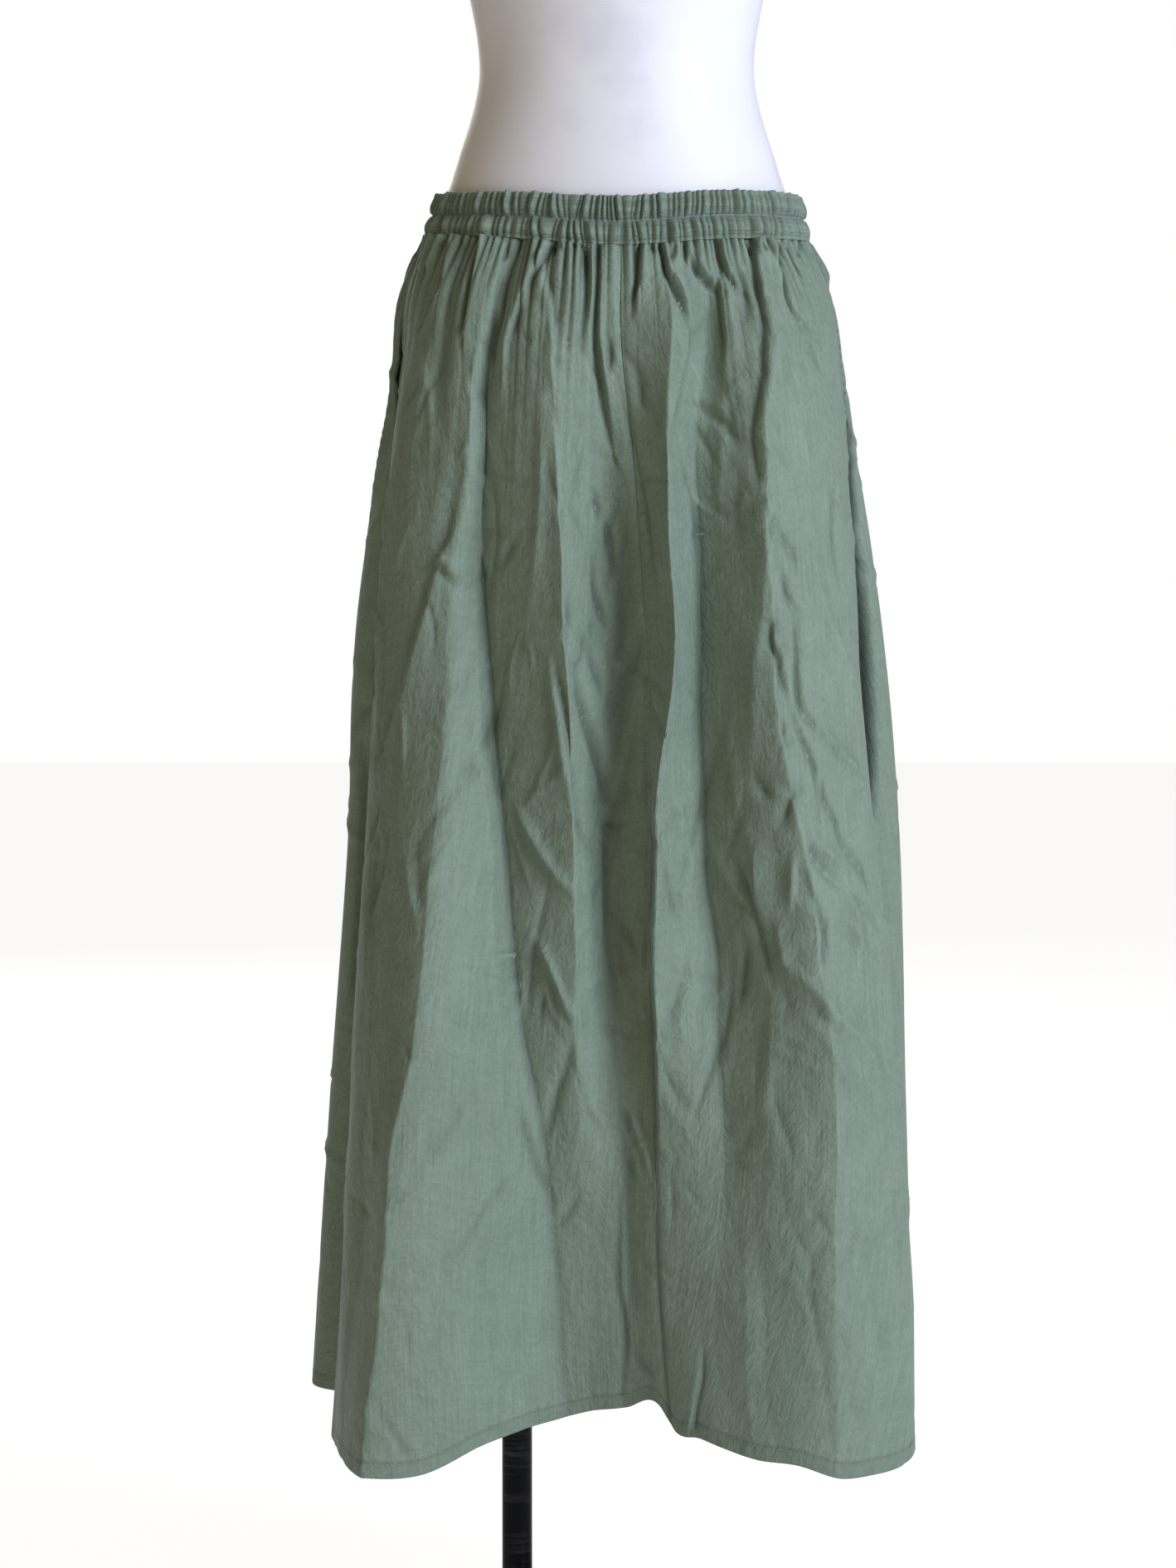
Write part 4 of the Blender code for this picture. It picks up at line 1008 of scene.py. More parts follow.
def settle(piece: Piece, slot: Slot, *nodes: str) -> Piece:
    """Let a finished piece ride on the part and stand for its nodes.

    Args:
        piece: The piece.
        slot: Its material slot; not used.
        nodes: The nodes it stands for.

    Returns:
        The same piece.
    """
    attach(piece, ROOT)
    if nodes:
        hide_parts(*nodes)
    log.info("%s: %d faces", piece.name, len(piece.data.polygons))
    return piece


# ------------------------------------------------------------------ finishes
def math_node(operation: str) -> Callable[..., "Value"]:
    """Operator that adds one Math node.

    Args:
        operation: The node's operation.

    Returns:
        The method.
    """

    def method(self: "Value", other: Any = 0.0) -> "Value":
        """Work on this value and another."""
        made = self.dresser.node("ShaderNodeMath", {"operation": operation}, {0: self, 1: other})
        return Value(self.dresser, made.outputs[0])

    return method


class Value:
    """A number that changes over a surface; Python's operators add Math nodes to it."""

    __add__ = __radd__ = math_node("ADD")
    __sub__ = math_node("SUBTRACT")
    __mul__ = __rmul__ = math_node("MULTIPLY")
    __abs__ = math_node("ABSOLUTE")

    def __init__(self, dresser: "Dresser", socket: Socket) -> None:
        """Wrap an output socket."""
        self.dresser = dresser
        self.socket = socket


class Dresser:
    """Builds the nodes of one material around its Principled shader."""

    def __init__(self, name: str) -> None:
        """Start a material with a Principled shader.

        Args:
            name: The material's name.
        """
        self.material = bpy.data.materials.new(name)
        self.material.use_nodes = True
        self.tree = self.material.node_tree
        self.shader = self.tree.nodes["Principled BSDF"]

    def node(self, kind: str, settings: dict[str, Any] | None = None,
             inputs: dict[Any, Any] | None = None) -> bpy.types.Node:
        """Add a node.

        Args:
            kind: The node's type.
            settings: Its properties; "stops" are a colour ramp's (place, colour) rows.
            inputs: Values or links of its sockets, by name or number.

        Returns:
            The new node.
        """
        made = self.tree.nodes.new(kind)
        for key, setting in (settings or {}).items():
            if key == "stops":
                ramp = made.color_ramp.elements
                while len(ramp) < len(setting):
                    ramp.new(0.5)
                for stop, (place, colour) in zip(ramp, setting):
                    stop.position = place
                    stop.color = (*colour, 1.0)
            else:
                setattr(made, key, setting)
        for key, value in (inputs or {}).items():
            self.put(made.inputs[key], value)
        return made

    def put(self, socket: Socket, value: Any) -> None:
        """Link or set one input socket.

        Args:
            socket: The input.
            value: A link, a colour or a number.
        """
        if isinstance(value, Value):
            self.tree.links.new(value.socket, socket)
        elif isinstance(value, Socket):
            self.tree.links.new(value, socket)
        elif isinstance(value, tuple) and len(value) == 3 and socket.type == "RGBA":
            socket.default_value = (*value, 1.0)
        else:
            socket.default_value = value

    def place(self) -> Socket:
        """The object's own coordinates."""
        return self.node("ShaderNodeTexCoord").outputs["Object"]

    def noise(self, vector: Socket, scale: tuple[float, float, float],
              detail: float = 2.0, roughness: float = 0.5, shift: float = 0.0) -> Value:
        """Noise about 0, with its own cells a metre along each axis.

        Args:
            vector: Where the noise is read.
            scale: Cells a metre.
            detail, roughness: As on the node.
            shift: Moves the pattern.

        Returns:
            The noise.
        """
        placed = self.node("ShaderNodeMapping", {}, {"Vector": vector, "Scale": scale,
                                                     "Location": (shift, shift, shift)})
        made = self.node("ShaderNodeTexNoise", {}, {
            "Vector": placed.outputs["Vector"], "Scale": 1.0, "Detail": detail,
            "Roughness": roughness})
        return Value(self, made.outputs["Fac"]) - 0.5

    def blend(self, share: Any, first: Any, second: Any) -> Socket:
        """Mix of two colours."""
        made = self.node("ShaderNodeMix", {"data_type": "RGBA"}, {0: share, 6: first, 7: second})
        return made.outputs[2]

    def bump(self, height: Value, distance: float, strength: float = 1.0) -> None:
        """Let a height in shares of distance drive the shader's normal.

        Args:
            height: The height.
            distance: In metres.
            strength: As on the node.
        """
        made = self.node("ShaderNodeBump", {}, {"Height": height, "Distance": distance,
                                                "Strength": strength})
        self.put(self.shader.inputs["Normal"], made.outputs["Normal"])

    def shade(self, **inputs: Any) -> None:
        """Set or link the shader's sockets; an underscore stands for a space."""
        for key, value in inputs.items():
            self.put(self.shader.inputs[key.replace("_", " ")], value)


def scaled(colour: Colour, factor: float) -> Colour:
    """A colour at a share of its brightness."""
    return tuple(factor * channel for channel in colour)


@dataclass(frozen=True)
class ClothFinish:
    """Plain-weave cotton and linen: fine slubs both ways, soft clouds of colour, a dull sheen, and
    painted shade in folds and creases.
    """

    name: str = "sage_cloth"
    shade: Colour = (0.136, 0.180, 0.118)
    light: Colour = (0.222, 0.285, 0.200)
    # painted shade: the dark colour that folds are blended towards
    deep: Colour = (0.030, 0.038, 0.026)
    sheen: Colour = (0.80, 0.95, 1.00)
    slub_long: float = 22.0        # cells a metre along a thread
    slub_fine: float = 620.0       # cells a metre across the threads
    see_through: float = 0.018

    def build(self) -> Finish:
        """Make the material.

        Returns:
            The material.
        """
        d = Dresser(self.name)
        thread = d.node("ShaderNodeUVMap", {"uv_map": THREAD_MAP}).outputs["UV"]
        weft = d.noise(thread, (self.slub_long, self.slub_fine, 1.0), 2.0)
        warp = d.noise(thread, (self.slub_fine, self.slub_long, 1.0), 2.0, shift=7.0)
        cloud = d.noise(thread, (11.0, 7.0, 1.0), 3.0, shift=3.0)
        grain = d.noise(thread, (260.0, 260.0, 1.0), 2.0, shift=11.0)
        crumple = d.noise(thread, (75.0, 55.0, 1.0), 4.0, 0.6, shift=17.0)
        pressed = abs(d.noise(thread, (30.0, 14.0, 1.0), 3.0, 0.55, shift=23.0))
        # random slubs, clouds and grain, plus the crumple and pressed bumps, whose low creases are
        # painted darker and raised parts lighter: painted shade and light
        tone_and_crease_shade = (0.44 + weft * 0.6 + warp * 1.0 + cloud * 0.5 + grain * 0.7 + crumple * 0.5
                + pressed * 0.6)
        # painted shade in folds, read from the fold-depth attribute
        hollow = Value(d, d.node("ShaderNodeAttribute", {"attribute_name": PAINTED_SHADE}).outputs["Fac"])
        colour = d.blend(hollow * 0.5, d.blend(tone_and_crease_shade, self.shade, self.light), self.deep)
        d.shade(Base_Color=colour, Roughness=0.62 + weft * 0.3,
                Specular_IOR_Level=0.35, Sheen_Weight=0.28, Sheen_Roughness=0.45,
                Sheen_Tint=self.sheen, Alpha=1.0 - self.see_through)
        d.bump(weft * 0.25 + warp * 0.3 + grain * 0.4 + crumple * 2.0 + pressed * 2.2, 1.0 * MM)
        return d.material


@dataclass(frozen=True)
class ShellFinish:
    """Pale lilac-grey moulded shell with faint clouds and scuffs."""

    name: str = "form_shell"
    pale: Colour = (0.76, 0.735, 0.71)
    cloud: Colour = (0.58, 0.55, 0.56)

    def build(self) -> Finish:
        """Make the material.

        Returns:
            The material.
        """
        d = Dresser(self.name)
        place = d.place()
        wide = d.noise(place, (11.0, 11.0, 9.0), 3.0)
        fine = d.noise(place, (46.0, 46.0, 46.0), 3.0, shift=5.0)
        spots = d.node("ShaderNodeValToRGB", {"stops": ((0.50, (0.0, 0.0, 0.0)),
                                                        (0.78, (1.0, 1.0, 1.0)))},
                       {"Fac": 0.5 + wide * 1.5 + fine * 0.35})
        share = Value(d, spots.outputs["Color"]) * 0.5
        d.shade(Base_Color=d.blend(share, self.pale, self.cloud), Roughness=0.48 + fine * 0.25,
                Specular_IOR_Level=0.35)
        d.bump(fine, 0.25 * MM)
        return d.material


@dataclass(frozen=True)
class PaintFinish:
    """Painted metal with faint rings round it, lighter along its bands as painted highlights."""

    name: str
    colour: Colour
    roughness: float
    rings: float                   # depth of the rings' bump, in metres
    gloss: float = 0.5
    coat: float = 0.0

    def build(self) -> Finish:
        """Make the material.

        Returns:
            The material.
        """
        d = Dresser(self.name)
        place = d.place()
        bands = d.noise(place, (5.0, 5.0, 95.0), 4.0, 0.7)
        dust = d.noise(place, (140.0, 140.0, 140.0), 3.0, shift=2.0)
        # painted highlight: lighter colour along the noise bands and flecks of dust
        painted_highlight = tuple(min(1.0, 4.0 * channel + 0.05) for channel in self.colour)
        d.shade(Base_Color=d.blend(bands * 7.0 + dust * 0.6 - 0.2, self.colour, painted_highlight),
                Roughness=self.roughness + bands * 0.5 + dust * 0.12,
                Specular_IOR_Level=self.gloss, Coat_Weight=self.coat, Coat_Roughness=0.12)
        d.bump(bands, self.rings)
        return d.material


@dataclass(frozen=True)
class CapFinish:
    """Satin grey plastic with a fine grain."""

    name: str = "cap_grey"
    colour: Colour = (0.42, 0.43, 0.46)

    def build(self) -> Finish:
        """Make the material.

        Returns:
            The material.
        """
        d = Dresser(self.name)
        place = d.place()
        grain = d.noise(place, (420.0, 420.0, 420.0), 2.0)
        darker = scaled(self.colour, 0.8)
        d.shade(Base_Color=d.blend(0.5 + grain, self.colour, darker), Roughness=0.45 + grain * 0.2)
        d.bump(grain, 0.1 * MM)
        return d.material


@dataclass(frozen=True)
class FloorFinish:
    """Plain pale floor: it glows evenly to the camera, and lights the cloth as a dim one."""

    name: str = "studio_floor"
    colour: Colour = (0.90, 0.90, 0.90)
    seen: Colour = (0.22, 0.22, 0.22)
    glow: float = 0.12
    seen_glow: float = 0.90

    def build(self) -> Finish:
        """Make the material.

        Returns:
            The material.
        """
        d = Dresser(self.name)
        place = d.place()
        cloud = d.noise(place, (1.2, 1.2, 1.2), 2.0)
        darker = scaled(self.colour, 0.96)
        d.shade(Base_Color=d.blend(0.5 + cloud, self.colour, darker), Roughness=0.85,
                Emission_Color=(1.0, 1.0, 1.0), Emission_Strength=self.glow)
        bright = d.node("ShaderNodeBsdfPrincipled", {}, {
            "Base Color": self.seen, "Roughness": 0.9, "Emission Color": (1.0, 1.0, 1.0),
            "Emission Strength": self.seen_glow})
        path = d.node("ShaderNodeLightPath")
        mix = d.node("ShaderNodeMixShader", {}, {
            0: path.outputs["Is Camera Ray"], 1: d.shader.outputs["BSDF"],
            2: bright.outputs["BSDF"]})
        d.put(d.tree.nodes["Material Output"].inputs["Surface"], mix.outputs[0])
        return d.material


# ----------------------------------------------------------------- the skirt
@dataclass(frozen=True)
class SkirtShape:
    """The hung skirt as a function of an angle round the body and a drop from waist to hem."""

    waist_height: float = 1.052
    hem_height: float = 0.200
    seam_gap: float = 0.3 * MM
    gathers: Ribs = Ribs(seed=31, count=122, unevenness=0.75)
    gather_rise: float = 3.6 * MM
    gather_short: float = 11.0 * MM    # distance over which the shortest gathers fade
    gather_long: float = 75.0 * MM
    swells: tuple[tuple[float, SoftNoise], ...] = (
        (0.9 * MM, SoftNoise(seed=5, around=40, tall=0.16)),
        (0.35 * MM, SoftNoise(seed=8, around=90, tall=0.07)))
    waver: SoftNoise = SoftNoise(seed=21, around=44, tall=0.06)
    waver_size: float = math.radians(0.9)
    angle_step: float = 0.018          # about 3 mm, to find the outward direction
    drop_step: float = 0.002
    mouth_top: float = 1.028
    mouth_bottom: float = 0.887
    mouth_open: float = 7.0 * MM

    @property
    def length(self) -> float:
        """Height from the waist seam to the hem."""
        return self.waist_height - self.hem_height

    def height(self, drop: Array) -> Array:
        """Plain height of a drop, before the waist and hem lines."""
        return self.waist_height - self.length * drop

    def drop(self, height: Array) -> Array:
        """Drop of a plain height."""
        return (self.waist_height - height) / self.length

    @staticmethod
    def angle_at(marks: Sequence[float], height: Array) -> Array:
        """Angle in radians of a seam given in degrees at the ridge heights."""
        return np.radians(smooth_along(RIDGE_HEIGHTS, marks, height))

    @staticmethod
    def line(marks: Sequence[NamedTuple], column: str, angle: Array) -> Array:
        """Height of the waist line or the hem line at an angle."""
        return read_table(marks, (column,), np.degrees(turned(angle)))[0]

    def fold_push(self, angle: Array, height: Array, radius: Array) -> Array:
        """Sum of every large fold: rise * bell(distance from its line).

        Args:
            angle, height, radius: Grids of the same shape.

        Returns:
            Push outwards, in metres.
        """
        push = np.zeros_like(angle)
        for fold in FOLDS:
            places = (fold.waist, fold.hip, fold.knee, fold.hem)
            rises = (0.0, fold.rise_hip, fold.rise_knee, fold.rise_hem)
            centre = np.radians(smooth_along(FOLD_HEIGHTS, places, height))
            rise = smooth_along(FOLD_HEIGHTS, rises, height) * MM
            away = turned(angle - centre) * radius
            width = np.where(away < 0.0, fold.before, fold.after) * MM
            push += rise * bell(away, width, fold.crest)
        return push

    @staticmethod
    def ridge_push(angle: Array, height: Array) -> Array:
        """Push of the front's ridges and valleys, blended from each line to the next.

        Args:
            angle, height: Grids of the same shape.

        Returns:
            Push outwards, in metres.
        """
        degrees = np.degrees(turned(angle))
        push = np.zeros_like(degrees)
        for low, high in zip(RIDGES[:-1], RIDGES[1:]):
            start = smooth_along(RIDGE_HEIGHTS, low.angles, height)
            end = np.maximum(smooth_along(RIDGE_HEIGHTS, high.angles, height), start + NARROWEST)
            share = (degrees - start) / (end - start)
            inside = (share >= 0.0) & (share < 1.0)
            t = np.clip(share, 0.0, 1.0)
            fall = (RIDGE_HEIGHTS[0] - height) / (RIDGE_HEIGHTS[0] - RIDGE_HEIGHTS[-1])
            low_sharp = low.sharp[0] + (low.sharp[1] - low.sharp[0]) * fall
            high_sharp = high.sharp[0] + (high.sharp[1] - high.sharp[0]) * fall
            blend = (eased(t) + low_sharp * t * (1.0 - t) ** 2
                     - high_sharp * t * t * (1.0 - t))
            from_push = smooth_along(RIDGE_HEIGHTS, low.pushes, height)
            to_push = smooth_along(RIDGE_HEIGHTS, high.pushes, height)
            push = np.where(inside, from_push + (to_push - from_push) * blend, push)
        return push * MM

    def crease_push(self, crease: Crease, angle: Array, height: Array, radius: Array) -> Array:
        """Push of one crease: rise * taper along it * bell(distance from its path).

        Args:
            crease: The crease.
            angle, height, radius: Grids of the same shape.

        Returns:
            Push outwards, in metres.
        """
        marks = np.linspace(0.0, 1.0, len(crease.angles))
        fine = np.linspace(0.0, 1.0, 4 * (len(crease.angles) - 1) + 1)
        along_angle = np.radians(smooth_along(marks, crease.angles, fine))
        along_height = smooth_along(marks, crease.heights, fine)
        reach = CREASE_REACH * max(crease.before, crease.after) * MM
        near = ((height > along_height.min() - reach) & (height < along_height.max() + reach))
        middle = 0.5 * (along_angle.min() + along_angle.max())
        half = 0.5 * (along_angle.max() - along_angle.min())
        near &= np.abs(turned(angle - middle)) * radius < half * radius + reach
        push = np.zeros_like(angle)
        if not near.any():
            return push
        here, level, size = angle[near], height[near], radius[near]
        best = np.full(here.shape, 1.0e9)
        side = np.zeros(here.shape)
        share = np.zeros(here.shape)
        for number in range(len(fine) - 1):
            x0 = turned(along_angle[number] - here) * size
            x1 = turned(along_angle[number + 1] - here) * size
            z0 = along_height[number] - level
            z1 = along_height[number + 1] - level
            dx, dz = x1 - x0, z1 - z0
            t = np.clip(-(x0 * dx + z0 * dz) / (dx * dx + dz * dz + 1e-12), 0.0, 1.0)
            away = np.hypot(x0 + t * dx, z0 + t * dz)
            closer = away < best
            best = np.where(closer, away, best)
            side = np.where(closer, dz * x0 - dx * z0, side)
            share = np.where(closer, (number + t) / (len(fine) - 1), share)
        width = np.where(side > 0.0, crease.after, crease.before) * MM
        taper = ((crease.start + (1.0 - crease.start) * smooth_step(0.0, CREASE_TAPER, share))
                 * (crease.end
                    + (1.0 - crease.end) * smooth_step(0.0, CREASE_TAPER, 1.0 - share)))
        push[near] = crease.rise * MM * taper * bell(best, width, crease.crest)
        return push

    def detail(self, angle: Array, drop: Array, radius: Array) -> Array:
        """Push of the gathers under the band and of every crease.

        Args:
            angle, drop, radius: Grids of the same shape.

        Returns:
            Push outwards, in metres.
        """
        height = self.height(drop)
        ribs, reach = self.gathers.at(angle)
        fade = self.gather_short + (self.gather_long - self.gather_short) * reach ** 2
        push = self.gather_rise * (ribs - 0.6) * np.exp(-drop * self.length / fade)
        for crease in ALL_CREASES:
            push += self.crease_push(crease, angle, height, radius)
        slack = smooth_step(0.02, 0.2, drop)
        for size, noise in self.swells:
            push += size * slack * noise.at(angle, height)
        return push

    def plain(self, angle: Array, drop: Array) -> tuple[Array, Array]:
        """Point with the large folds only, and the plain ring's radius there.

        Args:
            angle, drop: Grids of the same shape.

        Returns:
            Points and radii.
        """
        height = self.height(drop)
        sizes = read_table(SECTIONS, ("left", "right", "front", "back", "square"), height)
        x, y, out_x, out_y, radius = ring(angle, *sizes)
        waver = self.waver_size * self.waver.at(angle, height)
        waver *= smooth_step(0.03, 0.15, drop)
        push = self.fold_push(angle, height, radius) + self.ridge_push(angle + waver, height)
        waist = self.line(WAIST_LINE, "seam", angle) - self.seam_gap - self.waist_height
        hem = self.line(HEM_LINE, "height", angle) - self.hem_height
        z = height + waist * (1.0 - drop) + hem * drop ** 3
        return np.stack([x + out_x * push, y + out_y * push, z], axis=-1), radius

    def normal(self, angle: Array, drop: Array) -> Array:
        """Outward direction of the large folds, from differences of points beside each.

        Args:
            angle, drop: Grids of the same shape.

        Returns:
            Unit vectors.
        """
        step = self.angle_step
        round_way = self.plain(angle + step, drop)[0] - self.plain(angle - step, drop)[0]
        step = self.drop_step
        down_way = self.plain(angle, drop + step)[0] - self.plain(angle, drop - step)[0]
        return direction(np.cross(down_way, round_way))

    def outside(self, angle: Array, drop: Array,
                extra: Array | float = 0.0) -> tuple[Array, Array]:
        """Finished outer points and the outward direction of the large folds.

        Args:
            angle, drop: Grids of the same shape.
            extra: A further push outwards.

        Returns:
            The points and directions, in the shape of the grids.
        """
        points, radius = self.plain(angle, drop)
        normal = self.normal(angle, drop)
        push = self.detail(angle, drop, radius) + extra
        return points + normal * push[..., None], normal

    @staticmethod
    def painted_gap_shadow(angle: Array, height: Array) -> Array:
        """Painted shadow in the long fold beside the right seam: a narrow bell, between two
        heights.

        Args:
            angle, height: Grids of the same shape.

        Returns:
            A share for each point.
        """
        centre = SkirtShape.angle_at(RIGHT_SEAM, height) + math.radians(1.1)
        tall = smooth_step(0.60, 0.68, height) * (1.0 - smooth_step(0.90, 0.95, height))
        return 1.6 * tall * bell(turned(angle - centre), math.radians(1.9), 4.0)

    def mouth_half(self, height: Array) -> Array:
        """Half the space between the side seam's edges along a pocket mouth."""
        along = (height - self.mouth_bottom) / (self.mouth_top - self.mouth_bottom)
        return 0.5 * self.mouth_open * np.sin(np.pi * np.clip(along, 0.0, 1.0))


class Cut(NamedTuple):
    """Flat size of a cut piece: its width and length, and its area where it tapers."""

    width: float
    length: float
    area: float


@dataclass(frozen=True)
class Panel:
    """One panel of the skirt between two seams, its edges and hem turned in."""

    name: str
    node: str
    first: tuple[float, ...]
    last: tuple[float, ...]
    cut: Cut
    mouth_first: bool = False
    mouth_last: bool = False
    columns: int = 255
    rows: int = 293
    samples: int = 801
    wall: float = 1.1 * MM
    edge_wall: float = 0.6 * MM
    tuck: float = 3.0 * MM
    hem_depth: float = 10.0 * MM
    hem_turn: float = 0.9 * MM
    row_marks: tuple[float, ...] = (0.0, 0.05, 0.09, 0.975, 0.985, 1.0)    # drops
    row_steps: tuple[float, ...] = (1.3, 1.6, 3.3, 3.3, 1.0, 1.0)          # mm between rows
    shade_depth: float = 1.3 * MM      # depth at which a gather is fully in painted shade
    hem_shade: float = 0.20            # painted shade of the doubled cloth, and of its fold's line
    fold_shade: float = 0.5
    ditch: float = 0.8 * MM
    ditch_width: float = 2.4 * MM
    lip: float = 1.6 * MM
    lip_width: float = 6.0 * MM

    def row_places(self, shape: SkirtShape) -> tuple[Array, Array]:
        """Drop and inset of every row, from inside the band round the hem's turn.

        Args:
            shape: The skirt's shape.

        Returns:
            Drops and insets.
        """
        length = shape.length
        top = np.array([[0.0, self.tuck], [0.0, 0.35 * self.tuck]])
        turn = np.linspace(0.0, math.pi, 6)[1:]
        bend = np.stack([1.0 + self.hem_turn * np.sin(turn) / length,
                         self.hem_turn * (1.0 - np.cos(turn))], axis=-1)
        up = np.linspace(0.0, self.hem_depth, 7)[1:]
        facing = np.stack([1.0 - up / length, np.full(6, 2.0 * self.hem_turn)], axis=-1)
        body_rows = self.rows - len(top) - len(bend) - len(facing)
        body = graded(self.row_marks, self.row_steps, body_rows)
        rows = np.concatenate([top, np.stack([body, np.zeros(body_rows)], axis=-1), bend, facing])
        return rows[:, 0], rows[:, 1]

    def edge_angles(self, shape: SkirtShape, drops: Array) -> tuple[Array, Array]:
        """Angle of the first and last edge in every row, drawn back from the seam.

        Args:
            shape: The skirt's shape.
            drops: One for each row.

        Returns:
            First and last angles.
        """
        heights = shape.height(np.minimum(drops, 1.0))
        edges = []
        for marks, mouth, way in ((self.first, self.mouth_first, 1.0),
                                  (self.last, self.mouth_last, -1.0)):
            angle = shape.angle_at(marks, heights)
            reach = 0.5 * shape.seam_gap + (shape.mouth_half(heights) if mouth else 0.0)
            step = 1e-3
            ahead = shape.plain(angle + step, drops)[0] - shape.plain(angle - step, drops)[0]
            edges.append(angle + way * reach * 2.0 * step / np.linalg.norm(ahead, axis=-1))
        return edges[0], edges[1]

    def shares(self, shape: SkirtShape, columns: int) -> Array:
        """Share of the way across for each column, even along the folded cloth.

        Args:
            shape: The skirt's shape.
            columns: How many are wanted.

        Returns:
            Rising shares from 0 to 1.
        """
        rows = np.array([0.02, 0.25, 0.5, 0.75, 0.95])
        first, last = self.edge_angles(shape, rows)
        across = np.linspace(0.0, 1.0, self.samples)
        angles = first[:, None] + (last - first)[:, None] * across
        points, _ = shape.plain(angles, np.repeat(rows[:, None], len(across), axis=1))
        steps = np.linalg.norm(np.diff(points, axis=1), axis=-1)
        steps = (steps / steps.sum(axis=1, keepdims=True)).mean(axis=0)
        total = np.append(0.0, np.cumsum(steps))
        return np.interp(np.linspace(0.0, 1.0, columns), total, across)

    def seam_push(self, shape: SkirtShape, away: Array, heights: Array, mouth: bool) -> Array:
        """Ditch along a sewn seam, or a rolled lip along a pocket mouth.

        Args:
            shape: The skirt's shape.
            away: Distance from the seam.
            heights: Plain heights.
            mouth: The seam has a pocket mouth.

        Returns:
            Push outwards, in metres.
        """
        opened = np.zeros_like(heights)
        if mouth:
            opened = shape.mouth_half(heights) / (0.5 * shape.mouth_open)
        sewn = -self.ditch * bell(away, self.ditch_width) * (1.0 - opened)
        return sewn + self.lip * bell(away, self.lip_width) * opened

    def build(self, shape: SkirtShape, finish: Finish) -> Piece:
        """Work the panel out and make it.

        Args:
            shape: The skirt's shape.
            finish: The cloth.

        Returns:
            The piece.
        """
        drops, row_inset = self.row_places(shape)
        edge = np.array([self.tuck, 0.4 * self.tuck])
        inner = self.columns - 2 * len(edge)
        share = self.shares(shape, inner)
        share = np.concatenate([np.zeros(len(edge)), share, np.ones(len(edge))])
        column_inset = np.concatenate([edge, np.zeros(inner), edge[::-1]])
        first, last = self.edge_angles(shape, drops)
        angle = first[:, None] + (last - first)[:, None] * share[None, :]
        drop = np.repeat(drops[:, None], self.columns, axis=1)
        _, radius = shape.plain(angle, drop)
        heights = shape.height(drop)
        extra = self.seam_push(shape, (angle - first[:, None]) * radius, heights, self.mouth_first)
        extra += self.seam_push(shape, (last[:, None] - angle) * radius, heights, self.mouth_last)
        inset = np.maximum(row_inset[:, None], column_inset[None, :])
        grid, normal = shape.outside(angle, drop, extra - inset)
        thin = smooth_step(0.0, 0.012, 1.0 - drop) * smooth_step(0.0, 8.0 * MM, (
            np.minimum(angle - first[:, None], last[:, None] - angle) * radius))
        wall = self.edge_wall + (self.wall - self.edge_wall) * thin
        inwards = np.where((row_inset > self.hem_turn)[:, None, None] & (drop > 0.5)[..., None],
                           normal, -normal)
        # painted shade: darker in folds and more so near the waist, the painted shadow of the gap
        # by the right seam, and darker along the doubled hem and on its fold's line
        hollow = painted_shade_of(grid, normal, 3, self.shade_depth)
        hollow *= 1.0 + 0.7 * np.exp(-drop / 0.05)
        hollow += shape.painted_gap_shadow(angle, heights)
        above = (1.0 - drop) * shape.length
        hollow += (self.hem_shade * (above < self.hem_depth)
                   + self.fold_shade * bell(above - self.hem_depth, 1.0 * MM))
        piece = cloth_shell(self.name, grid, inwards, wall, finish, hollow)
        return settle(piece, Slot.CLOTH, self.node)


